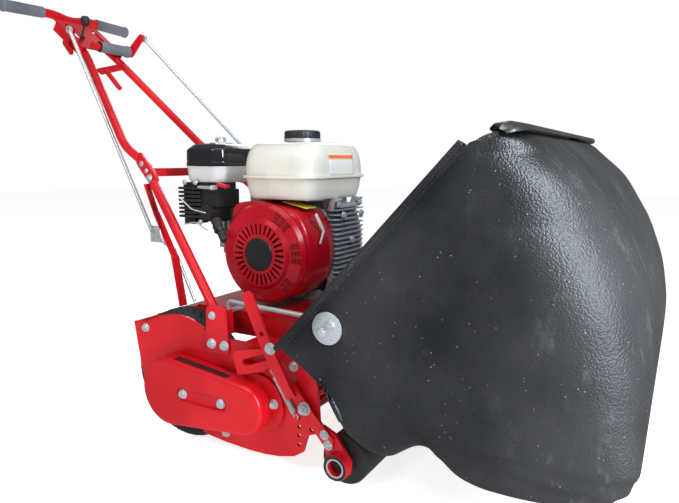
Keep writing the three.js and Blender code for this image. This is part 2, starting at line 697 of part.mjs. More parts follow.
const leftLow = [34, 183, 362];
const rodLeftTop = [leftEye[0], 82, leftEye[2]];
const clutchRodLeft = join([
  rod(rodLeftTop, leftLow, rodRadius, 12),
  roundY(leftEye[0], leftEye[2], 9, 78.5, 85.5, 18),
  roundY(leftLow[0], leftLow[2], 8, 179.5, 186.5, 18),
]).subtract(roundY(leftEye[0], leftEye[2], 3.5 + gap, 70, 95, 16))
  .subtract(roundY(leftLow[0], leftLow[2], 3.5 + gap, 170, 200, 16));
add('clutch_rod_left', clutchRodLeft, zinc, 0.3, 0.9);

const idlerPivot = [-6, 0, 322];
const idlerWheel = [-18, 0, 280];
const idlerY = 171;
add('idler_arm', join([
  plateXZ(beltOutline(idlerPivot[0], idlerPivot[2], 10, leftLow[0], leftLow[2], 8, 8), idlerY, idlerY + 4),
  plateXZ(beltOutline(idlerPivot[0], idlerPivot[2], 10, idlerWheel[0], idlerWheel[2], 9, 8), idlerY, idlerY + 4),
  roundY(leftLow[0], leftLow[2], 3.5, idlerY + 3, 188, 12),
  roundY(idlerWheel[0], idlerWheel[2], 20, pulleyY, pulleyY + pulleyWidth, 28),
  roundY(idlerWheel[0], idlerWheel[2], 6, pulleyY + 2, idlerY + 2, 16),
]), red, 0.4);

// ---- engine ---------------------------------------------------------------------------------

const blockOutline = [
  [44, 262], [204, 262], [212, 286], [214, 330], [212, 386], [198, 432], [150, 448], [96, 444],
  [40, 420], [30, 372], [32, 310],
];
const crankcaseHollow = plateXZ(blockOutline.map(([x, z]) => [125 + (x - 125) * 0.9, 355 + (z - 355) * 0.9]),
  -60, engineBack - 14);
const crankcase = plateXZ(blockOutline, -58, engineBack).subtract(crankcaseHollow);
const feet = [block(36, 208, -58, -30, deckHeight + gap, 263), block(36, 208, 42, engineBack, deckHeight + gap, 263)];
const fins = [];
for (let i = 0; i < 7; i += 1) {
  const x = -66 + i * 14;
  fins.push(block(x, x + 4, -54, 62, 330, 428));
}
const barrel = block(-72, 40, -34, 44, 346, 414);
const headCap = block(-92, -64, -36, 46, 338, 420);
const pipes = roundY(150, 300, 20, engineBack - 1, engineBack + 8, 28);
const tankStands = [block(86, 96, -50, 30, 440, 457 - gap), block(190, 198, -50, 30, 425, 457 - gap)];
add('engine_block', join([crankcase, ...feet, barrel, ...fins, headCap, pipes, ...tankStands])
  
  .subtract(roundY(crankX, crankZ, 11.6, engineBack - 10, 100, 24)), castGrey, 0.5, 0.7);

const crank = roundY(crankX, crankZ, 11, engineBack - 8, pulleyY + pulleyWidth + 6, 24).add(turnY([
  [0, pulleyY - 2], [crankPulleyRadius + 6, pulleyY - 2], [crankPulleyRadius - 5.2, pulleyY + 6],
  [crankPulleyRadius - 5.2, pulleyY + 10], [crankPulleyRadius + 6, pulleyY + pulleyWidth + 2],
  [0, pulleyY + pulleyWidth + 2],
], crankX, crankZ, 28));
add('crank_pulley', crank, 0x8d9095, 0.35, 0.8);

const beltIn = beltOutline(0, wheelRadius, counterPulleyRadius - 4, crankX, crankZ, crankPulleyRadius - 4);
const beltBody = plateXZ(beltOutline(0, wheelRadius, counterPulleyRadius + 4, crankX, crankZ,
  crankPulleyRadius + 4), pulleyY + 6.5, pulleyY + 9.5)
  .subtract(plateXZ(beltIn, pulleyY, pulleyY + pulleyWidth));
add('drive_belt', beltBody, 0x222224, 0.8);

const fanOutline = [
  [37, 330], [37, 430], [44, 446], [60, 453], [150, 448], [192, 436], [212, 408], [222, 370], [220, 330],
  [206, 296], [186, 276], [160, 268], [84, 268],
];
const fanBody = plateXZ(fanOutline, -150, -58 - gap);
const fanHollow = plateXZ(fanOutline.map(([x, z]) => [130 + (x - 130) * 0.965, 358 + (z - 358) * 0.965]),
  -146, -50);
const fanHole = roundY(crankX, crankZ, recoilRadius - 12, -160, -140, 40);
add('fan_cover', fanBody.subtract(fanHollow).subtract(fanHole), engineRed, 0.25);

const recoilBody = turnY([
  [0, recoilY], [ringRadius - 3, recoilY + 1], [ringRadius + 3, recoilY + 7], [recoilRadius - 6, recoilY + 10],
  [recoilRadius, recoilY + 17], [recoilRadius, -150 - gap], [recoilRadius - 3, -150 - gap],
  [recoilRadius - 3, recoilY + 18], [recoilRadius - 8, recoilY + 13], [ringRadius + 1, recoilY + 10],
  [ringRadius - 5, recoilY + 4], [0, recoilY + 4],
], crankX, crankZ, 40);
const slots = [];
for (let i = 0; i < 30; i += 1) {
  const angle = (i / 30) * Math.PI * 2;
  const g = new THREE.BoxGeometry(20, 24, 4.2);
  g.translate(48, recoilY, 0);
  g.rotateY(-angle);
  g.translate(crankX, 0, crankZ);
  slots.push(body(g));
}
add('recoil_cover', slots.reduce((sum, s) => sum.subtract(s), recoilBody), engineRed, 0.25);

add('starter_grip', join([
  rod([23, -168, 398], [50, -184, 376], 7, 14),
  rod([9, -160, 414], [26, -170, 394], 11, 14),
]), 0x303034, 0.6);

const tankX = 145.5;
const tankY = -46;
const tankBody = softBox(tankX, tankY, 88, 109, 7, [
  [457, 0.80], [462, 0.86], [496, 0.95], [498, 1], [503, 1], [505, 0.955], [520, 0.95], [540, 0.91],
  [556, 0.84], [564, 0.72], [566, 0.5],
], 32);
const tankHollow = softBox(tankX, tankY, 86, 107, 7, [
  [459.5, 0.78], [496, 0.92], [506, 0.93], [540, 0.88], [556, 0.81], [563, 0.68],
], 32);
const filler = roundZ(150, -62, 20, 540, 580, 24);
add('fuel_tank', tankBody.subtract(tankHollow).subtract(filler), tankCream, 0.25);
add('fuel_cap', roundZ(150, -62, 36, 566 + gap, 589, 32, 35), 0x1d1d20, 0.4);

const cleanX = -57;
const cleanY = -62;
add('air_cleaner_base', softBox(cleanX, cleanY, 53, 66, 5, [[486, 0.9], [490, 0.97], [518.7, 1]], 32),
  0xc8c8c4, 0.4);
add('air_cleaner_cover', softBox(cleanX, cleanY, 54, 67, 5, [[519, 1], [546, 0.97], [560, 0.9], [566, 0.78]], 32)
  .add(roundZ(cleanX, cleanY, 24, 565.5, 569, 24)).add(roundZ(cleanX, cleanY, 5, 568.5, 580, 12)),
0x17171a, 0.15);

add('carburettor', join([
  block(-112, -84, -122, -72, 398, 485.6),
  block(-90, -30, -112, -70, 404, 440),
  block(-70, -20, -120, -62, 436, 485.6),
  roundY(-46, 424, 16, -130, -100, 20),
  block(-60, -30, -72, -40, 429, 470),
]).subtract(block(-96, -60, -80, -30, 320, 434)), 0x2b2b2e, 0.5);
add('choke_lever', join([
  rod([-66, -126, 476], [-24, -134, 476], 3.4, 10),
  roundY(-24, 476, 5, -134, -120.4, 14),
]), zinc, 0.3, 0.8);
add('fuel_lever', rod([-14, -128, 484], [4, -120, 478], 4.5, 10)
  .add(roundY(2, 478.5, 4, -122, -112, 12)), 0xd01624, 0.4);

const muffler = softBox(-58, 104, 40, 34, 4, [[430, 0.85], [436, 0.98], [508, 0.98], [514, 0.85]], 28);
add('muffler', muffler.add(rod([-58, 66, 450], [-58, 60, 436], 10, 14)), 0x8b8b88, 0.6, 0.6);

// ---- catcher --------------------------------------------------------------------------------

const profile = [
  [285, 240], [292, 232], [330, 205], [372, 178], [392, 150], [398, 122], [430, 104], [463, 101],
  [484, 116], [508, 131], [534, 130], [553, 112], [572, 95], [602, 88], [650, 88], [704, 93],
  [754, 104], [779, 122], [787, 150], [790, 200], [792, 270], [780, 350], [752, 430], [706, 505], [640, 566], [615, 580],
  [595, 572], [570, 548],
];
function shrink(points, by) {
  const out = [];
  points.forEach(([x, z], i) => {
    const [ax, az] = points[(i + points.length - 1) % points.length];
    const [bx, bz] = points[(i + 1) % points.length];
    const length = Math.hypot(bx - ax, bz - az);
    out.push([x - ((bz - az) / length) * by, z + ((bx - ax) / length) * by]);
  });
  return out;
}
const outerSide = plateXZ(profile, -catcherHalf, catcherHalf);
const innerProfile = shrink(profile, catcherWall);
const rimPush = [[-24, 26], [-24, 26], [0, 0]];
innerProfile[0] = [innerProfile[0][0] + rimPush[0][0], 270];
innerProfile[innerProfile.length - 1] = [540, 575];
innerProfile[innerProfile.length - 2] = [575, 606];
innerProfile[innerProfile.length - 3] = [607, 600];
const planShape = (inset) => {
  const s = new THREE.Shape();
  const wide = catcherHalf - inset;
  const front = 800 - inset;
  const soft = 105;
  s.moveTo(240, -wide);
  s.lineTo(front - soft * 1.2, -wide);
  s.bezierCurveTo(front - soft * 0.5, -wide, front, -wide + soft * 0.45, front, -wide + soft);
  s.lineTo(front, wide - soft);
  s.bezierCurveTo(front, wide - soft * 0.45, front - soft * 0.5, wide, front - soft * 1.2, wide);
  s.lineTo(240, wide);
  s.closePath();
  return s;
};
const shellOuter = outerSide.intersect(plateXY(planShape(0), 60, 640));
const shellInner = plateXZ(innerProfile, -catcherHalf, catcherHalf)
  .intersect(plateXY(planShape(catcherWall), 60, 640));
// Flange round the open mouth, following the sloping rim and the front lip.
const rimLine = [[281, 243], [570, 550], [597, 573], [618, 582], [640, 572]];
const rimOut = rimLine.map(([x, z]) => [x - 4, z + 4]);
const rimStrip = plateXZ([...rimLine, ...rimOut.slice().reverse()], -catcherHalf - flangeWide, catcherHalf + flangeWide);
const mouth = plateXZ([[262, 246], [545, 556], [585, 600], [625, 610], [612, 572], [570, 536], [300, 228]],
  -catcherHalf + catcherWall, catcherHalf - catcherWall);
const shell = shellOuter.subtract(shellInner).add(rimStrip).subtract(mouth);
add('catcher', shell, blackPlastic, 0.55);

const disc = plateXZ((() => {
  const s = new THREE.Shape();
  s.absarc(366, 286, 25, 0, Math.PI * 2, false);
  return s;
})(), -catcherHalf - 2.5 - gap, -catcherHalf - gap);
const discBolts = [[358, 279], [374, 293]].map(([x, z]) => roundY(x, z, 5, -catcherHalf - 7, -catcherHalf - 2.5, 6));
add('hanger_disc_right', join([disc, ...discBolts]), zinc, 0.35, 0.8);
add('hanger_disc_left', flip(join([disc, ...discBolts])), zinc, 0.35, 0.8);

// ---- assembly: origin in the middle of the bottom of the whole ------------------------------

const mower = new THREE.Group();
mower.name = 'reel_mower';
parts.forEach((part) => mower.add(part));
const bounds = new THREE.Box3().setFromObject(mower);
const shift = new THREE.Vector3(-(bounds.min.x + bounds.max.x) / 2, -(bounds.min.y + bounds.max.y) / 2, -bounds.min.z);
parts.forEach((part) => part.geometry.translate(shift.x, shift.y, shift.z));

export default mower;
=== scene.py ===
import bpy
import bmesh
import json
import math
import numpy as np
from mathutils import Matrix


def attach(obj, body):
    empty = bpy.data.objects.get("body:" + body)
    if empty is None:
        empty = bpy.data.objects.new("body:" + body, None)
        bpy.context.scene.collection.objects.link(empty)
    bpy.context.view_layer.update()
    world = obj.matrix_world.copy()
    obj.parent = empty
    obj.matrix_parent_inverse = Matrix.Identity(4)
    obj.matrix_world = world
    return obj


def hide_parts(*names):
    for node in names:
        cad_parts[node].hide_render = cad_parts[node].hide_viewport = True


# A walk-behind reel mower. Shapes are worked out in the drawing's millimetres, where the wheel shaft
# is over x = 0, +X points at the catcher and +Y at the operator's left; putPiece moves them to the row frame.
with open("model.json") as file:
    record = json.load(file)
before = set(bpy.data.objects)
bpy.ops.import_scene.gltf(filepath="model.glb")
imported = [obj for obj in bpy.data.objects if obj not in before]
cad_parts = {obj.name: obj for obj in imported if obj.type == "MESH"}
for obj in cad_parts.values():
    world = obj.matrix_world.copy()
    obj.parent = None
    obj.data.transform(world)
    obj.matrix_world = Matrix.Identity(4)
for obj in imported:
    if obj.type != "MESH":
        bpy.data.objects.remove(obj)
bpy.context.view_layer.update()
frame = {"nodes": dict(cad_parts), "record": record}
toFrame = np.array([-82.94165, 0.0, -0.35])
print("frame loaded:", len(frame["nodes"]), "nodes")

# camera, lights and floor
studio = {
    "cameraPlace": (0.72706, -1.06, 0.52965),
    "cameraTurn": (90 - 8.6, 0, 30),
    "lens": 31.8,
    "skyColour": (0.93, 0.96, 1.0),
    "skyStrength": 0.20,
    "backdrop": (1.0, 1.0, 1.0),
    "floorColour": (0.86, 0.86, 0.86),
    "floorGlow": 0.8,
}


def areaLight(name, place, aim, size, power, colour=(1, 1, 1)):
    data = bpy.data.lights.new(name, "AREA")
    data.shape = "RECTANGLE"
    data.size, data.size_y = size
    data.energy = power
    data.color = colour
    lamp = bpy.data.objects.new(name, data)
    lamp.location = place
    away = np.array(place) - np.array(aim)
    lamp.rotation_euler = (
        math.atan2(math.hypot(away[0], away[1]), away[2]), 0, math.atan2(away[1], away[0]) + math.pi / 2
    )
    bpy.context.scene.collection.objects.link(lamp)
    return lamp


def buildStudio():
    scene = bpy.context.scene
    data = bpy.data.cameras.new("camera")
    data.sensor_width = 36
    data.lens = studio["lens"]
    data.clip_end = 50
    camera = bpy.data.objects.new("camera", data)
    camera.location = studio["cameraPlace"]
    camera.rotation_euler = [math.radians(a) for a in studio["cameraTurn"]]
    scene.collection.objects.link(camera)
    scene.camera = camera
    scene.view_settings.view_transform = "Standard"
    world = bpy.data.worlds.new("studioSky")
    scene.world = world
    world.use_nodes = True
    tree = world.node_tree
    sky = tree.nodes["Background"]
    sky.inputs["Color"].default_value = (*studio["skyColour"], 1)
    sky.inputs["Strength"].default_value = studio["skyStrength"]
    # The camera sees a white backdrop, and the machine is lit by the dimmer sky
    seen = tree.nodes.new("ShaderNodeBackground")
    seen.inputs["Color"].default_value = (*studio["backdrop"], 1)
    either = tree.nodes.new("ShaderNodeMixShader")
    ray = tree.nodes.new("ShaderNodeLightPath")
    tree.links.new(ray.outputs["Is Camera Ray"], either.inputs[0])
    tree.links.new(sky.outputs[0], either.inputs[1])
    tree.links.new(seen.outputs[0], either.inputs[2])
    tree.links.new(either.outputs[0], tree.nodes["World Output"].inputs["Surface"])
    areaLight("keyLight", (-0.7, -2.3, 2.3), (0, 0, 0.35), (1.3, 0.9), 23)
    areaLight("topLight", (0.3, -0.2, 2.7), (0, 0, 0.3), (2.2, 1.6), 15)
    areaLight("cornerLight", (2.05, -1.0, 1.25), (0.6, -0.25, 0.35), (0.22, 1.8), 78, (0.80, 0.89, 1.0))
    areaLight("backLight", (-1.2, 2.2, 1.9), (0, 0, 0.5), (1.6, 1.2), 18)


buildStudio()
print("studio built")


# Materials

# A shader socket that takes part in arithmetic: each operator adds the Math node that does it.
class Wire:
    def __init__(self, paint, socket):
        self.paint = paint
        self.socket = socket

    def maths(self, operation, first, second=None):
        inputs = {0: first} if second is None else {0: first, 1: second}
        return self.paint.node("ShaderNodeMath", {"operation": operation}, inputs)

    def __add__(self, other):
        return self.maths("ADD", self, other)

    def __radd__(self, other):
        return self.maths("ADD", other, self)

    def __sub__(self, other):
        return self.maths("SUBTRACT", self, other)

    def __rsub__(self, other):
        return self.maths("SUBTRACT", other, self)

    def __mul__(self, other):
        return self.maths("MULTIPLY", self, other)

    def __rmul__(self, other):
        return self.maths("MULTIPLY", other, self)

    def __lt__(self, other):
        return self.maths("LESS_THAN", self, other)

    # 0 below low, 1 above high, smooth between
    def rise(self, low, high):
        return self.paint.node(
            "ShaderNodeMapRange",
            {"interpolation_type": "SMOOTHSTEP"},
            {"Value": self, "From Min": low, "From Max": high},
        )


# One finish: its Principled shader and the nodes that feed it.
class Paint:
    def __init__(self, name, colour, roughness, metallic=0.0, **constants):
        self.material = bpy.data.materials.new(name)
        self.material.use_nodes = True
        self.material.diffuse_color = (*colour, 1)
        self.tree = self.material.node_tree
        self.shader = self.tree.nodes["Principled BSDF"]
        self.colour = colour
        self.put("Base Color", (*colour, 1))
        self.put("Roughness", roughness)
        self.put("Metallic", metallic)
        for key, value in constants.items():
            self.put(key.replace("_", " "), value)
        self.place = self.node("ShaderNodeTexCoord", output="Object")

    def node(self, kind, settings=None, inputs=None, output=0):
        made = self.tree.nodes.new(kind)
        for key, value in (settings or {}).items():
            if key == "stops":
                while len(made.color_ramp.elements) < len(value):
                    made.color_ramp.elements.new(1)
                for stop, (position, colour) in zip(made.color_ramp.elements, value):
                    stop.position = position
                    stop.color = (*colour, 1)
            else:
                setattr(made, key, value)
        for key, value in (inputs or {}).items():
            self.feed(made.inputs[key], value)
        return Wire(self, made.outputs[output])

    def feed(self, socket, value):
        if isinstance(value, Wire):
            self.tree.links.new(value.socket, socket)
        else:
            socket.default_value = value

    def put(self, key, value):
        self.feed(self.shader.inputs[key], value)

    def noise(self, scale, detail=3.0, roughness=0.5, place=None):
        inputs = {"Vector": place or self.place, "Scale": scale, "Detail": detail, "Roughness": roughness}
        return self.node("ShaderNodeTexNoise", None, inputs)

    def mix(self, factor, first, second, blend="MIX"):
        sides = [(*c, 1) if isinstance(c, tuple) else c for c in (first, second)]
        settings = {"data_type": "RGBA", "blend_type": blend}
        return self.node("ShaderNodeMix", settings, {0: factor, 6: sides[0], 7: sides[1]}, output=2)

    def along(self, axis):
        return self.node("ShaderNodeSeparateXYZ", None, {0: self.place}, output=axis)

    def stretched(self, scale):
        return self.node("ShaderNodeVectorMath", {"operation": "MULTIPLY"}, {0: self.place, 1: scale})

    # Height in metres over a softly rounded edge of the given radius.
    def relief(self, height, strength=1.0, edge=0.0009):
        inputs = {"Height": height, "Strength": strength, "Distance": 1.0}
        if edge:
            inputs["Normal"] = self.node("ShaderNodeBevel", {"samples": 4}, {"Radius": edge})
        self.put("Normal", self.node("ShaderNodeBump", None, inputs))


finishes = {
    "red": (0.56, 0.0022, 0.008),
    "darkRed": (0.46, 0.0018, 0.011),
    "cream": (0.72, 0.68, 0.585),
    "zinc": (0.62, 0.65, 0.67),
    "steel": (0.30, 0.29, 0.28),
    "casting": (0.44, 0.46, 0.48),
    "charcoal": (0.0085, 0.0088, 0.0096),
    "black": (0.014, 0.014, 0.016),
    "rubber": (0.017, 0.017, 0.017),
    "gripGrey": (0.115, 0.123, 0.138),
    "lightGrey": (0.58, 0.58, 0.56),
}


# Powder coat or enamel: cloudy tone, faint orange peel, and dust near the ground.
def glossPaint(name, colour, roughness, peel=0.00002, dust=0.12):
    paint = Paint(name, colour, roughness, Specular_IOR_Level=0.32, Coat_Roughness=0.05, Coat_IOR=1.4)
    cloud = paint.noise(5.5, 4)
    fine = paint.noise(420, 2)
    deep = tuple(c * 0.80 for c in colour)
    lift = tuple(min(1, c * 1.10 + 0.004) for c in colour)
    tone = paint.mix(cloud.rise(0.3, 0.7), deep, lift)
    speck = paint.noise(95, 5, 0.65)
    low = 1 - paint.along(2).rise(0.0, 0.17)
    dirt = (speck.rise(0.56, 0.78) * low + speck.rise(0.70, 0.84) * 0.16) * dust
    paint.put("Base Color", paint.mix(dirt, tone, (0.20, 0.135, 0.09)))
    paint.put("Roughness", roughness + (cloud - 0.5) * 0.10 + dirt * 0.5)
    paint.put("Coat Weight", 0.38 - dirt)
    paint.relief(paint.noise(260, 2) * peel + fine * (peel * 0.4))
    return paint


# Bright plated metal: passivation tints, fine scratches and a dulled film.
def platedMetal(
    name, colour, roughness, brush=(60, 60, 600), tint=(0.60, 0.57, 0.47), amount=0.35, metallic=0.55
):
    paint = Paint(name, colour, roughness, metallic)
    cloud = paint.noise(38, 4)
    hair = paint.noise(1.0, 3, 0.6, paint.stretched(brush))
    paint.put("Base Color", paint.mix(cloud.rise(0.45, 0.75) * amount, colour, tint))
    paint.put("Roughness", roughness + (hair - 0.5) * 0.22 + (cloud - 0.5) * 0.14)
    paint.relief(hair * 0.00002 + paint.noise(700, 2) * 0.000012, edge=0.0006)
    return paint


# Sand-cast or die-cast alloy: grainy skin with darker hollows.
def castMetal(name, colour, roughness):
    paint = Paint(name, colour, roughness, 0.4)
    grain = paint.noise(520, 4, 0.6)
    cloud = paint.noise(24, 5)
    grime = (cloud.rise(0.48, 0.72) * 0.45 + grain.rise(0.6, 0.8) * 0.2)
    paint.put("Base Color", paint.mix(grime, colour, (0.12, 0.115, 0.11)))
    paint.put("Roughness", roughness + (grain - 0.5) * 0.3)
    paint.relief(grain * 0.00016 + cloud * 0.0003, edge=0.0014)
    return paint


# Moulded plastic or rubber with an even leathery grain.
def mouldedSkin(name, colour, roughness, scale=700, depth=0.00006, coat=0.0, edge=0.0009, spread=0.25):
    paint = Paint(name, colour, roughness, Coat_Roughness=0.12)
    grain = paint.noise(scale, 3, 0.6)
    cloud = paint.noise(9, 4)
    deep = tuple(c * (1 - spread) for c in colour)
    lift = tuple(c * (1 + spread) + 0.002 for c in colour)
    paint.put("Base Color", paint.mix(cloud.rise(0.3, 0.7), deep, lift))
    paint.put("Roughness", roughness + (grain - 0.5) * 0.18 + (cloud - 0.5) * 0.08)
    paint.put("Coat Weight", coat)
    paint.relief(grain * depth, edge=edge)
    return paint


# Catcher plastic: pebbled charcoal skin, lighter in random clouds and in scuffs, with painted light that
# lightens the front part, and tiny pale specks.
def pebbledPlastic(name, colour):
    paint = Paint(name, colour, 0.42, Specular_IOR_Level=0.5)
    pebble = paint.node(
        "ShaderNodeTexVoronoi", {"feature": "SMOOTH_F1"},
        {"Vector": paint.place, "Scale": 360, "Smoothness": 0.6}
    )
    roll = paint.noise(120, 3)
    cloud = paint.noise(5, 5)
    cells = paint.node("ShaderNodeTexVoronoi", {"feature": "F1"}, {"Vector": paint.place, "Scale": 120})
    pick = paint.noise(31, 1)
    speck = (cells < 0.085) * pick.rise(0.50, 0.56)
    scuff = paint.noise(1.0, 5, 0.72, paint.stretched((26, 40, 12))).rise(0.52, 0.76)
    # Scuffs gather towards the front, and the whole front part is painted lighter: painted light standing in
    # for the light that face catches.
    ahead = paint.along(0).rise(0.52, 0.66)
    scuffAndPaintedLight = scuff * (0.12 + ahead * 0.7) + ahead * 0.30
    tone = paint.mix(cloud.rise(0.35, 0.68) * 0.25 + scuffAndPaintedLight, colour, (0.085, 0.082, 0.080))
    paint.put("Base Color", paint.mix(speck * 0.7, tone, (0.42, 0.40, 0.37)))
    paint.put("Roughness", 0.30 + pebble * 0.12 + (cloud - 0.5) * 0.08 + scuffAndPaintedLight * 0.30)
    paint.relief((0.7 - pebble) * 0.00055 + roll * 0.00008, edge=0)
    return paint


# Front lip and pressed steel that has weathered brown.
def weatheredSteel(name, colour, rust, roughness, metallic=0.6):
    paint = Paint(name, colour, roughness, metallic)
    stain = paint.noise(30, 6, 0.65).rise(0.42, 0.66)
    hair = paint.noise(1.0, 3, 0.6, paint.stretched((700, 40, 40)))
    paint.put("Base Color", paint.mix(stain, colour, rust))
    paint.put("Metallic", metallic - stain * (metallic * 0.8))
    paint.put("Roughness", roughness + stain * 0.25 + (hair - 0.5) * 0.15)
    paint.relief(stain * 0.00012 + hair * 0.00003)
    return paint


# Printed sheet: bands across one axis, no lettering.
def bandedLabel(name, axis, stops, roughness=0.35):
    paint = Paint(name, stops[0][1], roughness)
    bands = paint.node("ShaderNodeValToRGB", {"stops": stops}, {"Fac": paint.along(axis)})
    worn = paint.noise(60, 4).rise(0.62, 0.8) * 0.12
    paint.put("Base Color", paint.mix(worn, bands, (0.4, 0.38, 0.34)))
    paint.put("Roughness", roughness + (paint.noise(200, 2) - 0.5) * 0.1)
    return paint


paints = {
    "red": glossPaint("frameRed", finishes["red"], 0.30),
    "darkRed": glossPaint("engineRed", finishes["darkRed"], 0.24, 0.00002, 0.2),
    "cream": glossPaint("tankCream", finishes["cream"], 0.28, 0.00002, 0.10),
    "zinc": platedMetal("brightZinc", finishes["zinc"], 0.30),
    "steel": platedMetal("groundSteel", finishes["steel"], 0.42, (40, 900, 40), (0.20, 0.13, 0.09), 0.6),
    "casting": castMetal("engineCasting", finishes["casting"], 0.46),
    "catcher": pebbledPlastic("catcherPlastic", finishes["charcoal"]),
    "black": mouldedSkin("blackPlastic", finishes["black"], 0.48, 600, 0.00006),
    "glossBlack": mouldedSkin("glossBlack", (0.008, 0.008, 0.009), 0.10, 120, 0.00001, 0.7),
    "lightGrey": mouldedSkin(
        "lightGreyPlastic", finishes["lightGrey"], 0.34, 300, 0.00002, 0.2, spread=0.05
    ),
    "rubber": mouldedSkin("tyreRubber", finishes["rubber"], 0.62, 900, 0.0001),
    "grip": mouldedSkin("gripRubber", finishes["gripGrey"], 0.68, 1100, 0.00009),
    "roller": mouldedSkin("rollerBlack", (0.02, 0.019, 0.018), 0.36, 200, 0.00008, 0.25),
    "hub": mouldedSkin("wheelHub", finishes["lightGrey"], 0.42, 300, 0.00004, spread=0.08),
    "knife": weatheredSteel("knifeSteel", (0.20, 0.18, 0.16), (0.085, 0.045, 0.03), 0.45),
    "muffler": weatheredSteel("mufflerSteel", (0.42, 0.41, 0.39), (0.17, 0.11, 0.075), 0.42, 0.9),
    "redPlastic": mouldedSkin("redPlastic", (0.55, 0.006, 0.012), 0.3, 300, 0.00002, 0.4),
}
print("materials made:", len(paints))


# Shapes: each is (points, corner list, corners per face), in the drawing's millimetres

# Points p[i, j] in rows: quads join neighbours, rows and columns close where asked, and an end row
# becomes one face.
def gridShape(p, wrapRows=False, wrapColumns=True, capStart=False, capEnd=False):
    rows, columns = p.shape[:2]
    index = np.arange(rows * columns).reshape(rows, columns)
    ends = [index[0], index[-1][::-1]]
    if wrapRows:
        index = np.vstack([index, index[:1]])
    if wrapColumns:
        index = np.hstack([index, index[:, :1]])
    quads = np.stack([index[:-1, :-1], index[:-1, 1:], index[1:, 1:], index[1:, :-1]], -1).reshape(-1, 4)
    corners, sizes = [quads.ravel()], [np.full(len(quads), 4)]
    for wanted, end in zip((capStart, capEnd), ends):
        if wanted:
            corners.append(end)
            sizes.append(np.array([len(end)]))
    return p.reshape(-1, 3), np.concatenate(corners), np.concatenate(sizes)


def together(*shapes):
    starts = np.cumsum([0] + [len(s[0]) for s in shapes[:-1]])
    corners = np.concatenate([s[1] + k for s, k in zip(shapes, starts)])
    return np.concatenate([s[0] for s in shapes]), corners, np.concatenate([s[2] for s in shapes])


def mirrored(shape):
    return shape[0] * np.array([1, -1, 1]), shape[1], shape[2]


# Side, up and along unit vectors for a direction.
def axesFor(direction, reference=(0, 0, 1)):
    along = np.array(direction, float) / np.linalg.norm(direction)
    guide = np.array(reference, float)
    if abs(along @ guide) > 0.95 * np.linalg.norm(guide):
        guide = np.array([1.0, 0, 0])
    side = np.cross(guide, along)
    side /= np.linalg.norm(side)
    return side, np.cross(along, side), along


# Surface of revolution: place + height * axis + radius * (cos t * side + sin t * up). The wave adds to
# the radius over t, and a profile that ends where it starts closes as a ring.
def spin(profile, place, direction, sides=48, wave=None):
    side, up, along = axesFor(direction)
    profile = np.array(profile, float)
    ring = bool(np.allclose(profile[0], profile[-1]))
    profile = profile[:-1] if ring else profile
    t = np.arange(sides) * 2 * np.pi / sides
    radius = profile[:, :1] + (0 if wave is None else wave(t)[None, :] * (profile[:, :1] > 0))
    p = np.array(place, float) + profile[:, 1, None, None] * along
    p = p + (radius * np.cos(t))[..., None] * side + (radius * np.sin(t))[..., None] * up
    return gridShape(
        p, wrapRows=ring, capStart=not ring and profile[0, 0] > 0, capEnd=not ring and profile[-1, 0] > 0
    )


# Corners rounded: each becomes the arc (1-t)^2 a + 2t(1-t) corner + t^2 b, with a and b the radius away
# from it.
def soften(corners, radius, steps=6, closed=True):
    c = np.array(corners, float)
    before, after = np.roll(c, 1, 0) - c, np.roll(c, -1, 0) - c
    la, lb = np.linalg.norm(before, axis=1)[:, None], np.linalg.norm(after, axis=1)[:, None]
    reach = np.minimum(np.broadcast_to(np.reshape(radius, (-1, 1)), la.shape), 0.48 * np.minimum(la, lb))
    a, b = c + before / la * reach, c + after / lb * reach
    t = np.linspace(0, 1, steps)[None, :, None]
    arcs = (1 - t) ** 2 * a[:, None] + 2 * t * (1 - t) * c[:, None] + t**2 * b[:, None]
    if closed:
        return arcs.reshape(-1, c.shape[1])
    return np.concatenate([c[:1], arcs[1:-1].reshape(-1, c.shape[1]), c[-1:]])


# A section of (side, up) points carried along a path: path + s * side + u * up, with up square to the path.
def carry(path, section, reference=(0, 0, 1), scale=None, closed=False):
    path, section = np.array(path, float), np.array(section, float)
    tangent = (np.roll(path, -1, 0) - np.roll(path, 1, 0)) if closed else np.gradient(path, axis=0)
    tangent /= np.linalg.norm(tangent, axis=1)[:, None]
    side = np.cross(np.array(reference, float), tangent)
    side /= np.linalg.norm(side, axis=1)[:, None]
    up = np.cross(tangent, side)
    size = np.ones(len(path)) if scale is None else np.array(scale, float)
    p = path[:, None] + size[:, None, None] * (
        section[:, 0, None] * side[:, None] + section[:, 1, None] * up[:, None]
    )
    return gridShape(p, wrapRows=closed, capStart=not closed, capEnd=not closed)


def circle(radius, sides=24):
    t = np.arange(sides) * 2 * np.pi / sides
    return np.stack([radius * np.cos(t), radius * np.sin(t)], -1)


# A round bar through the corners, its bends eased and its ends chamfered.
def roundBar(corners, radius, bend=20, sides=28, reference=(0, 0, 1), chamfer=0.8):
    path = soften(corners, bend, 12, False) if len(corners) > 2 else np.array(corners, float)
    first = (path[1] - path[0]) / np.linalg.norm(path[1] - path[0])
    last = (path[-1] - path[-2]) / np.linalg.norm(path[-1] - path[-2])
    path = np.concatenate(
        [path[:1], [path[0] + first * chamfer], path[1:-1], [path[-1] - last * chamfer], path[-1:]]
    )
    scale = np.ones(len(path))
    scale[[0, -1]] = 1 - chamfer / radius
    return carry(path, circle(radius, sides), reference, scale)


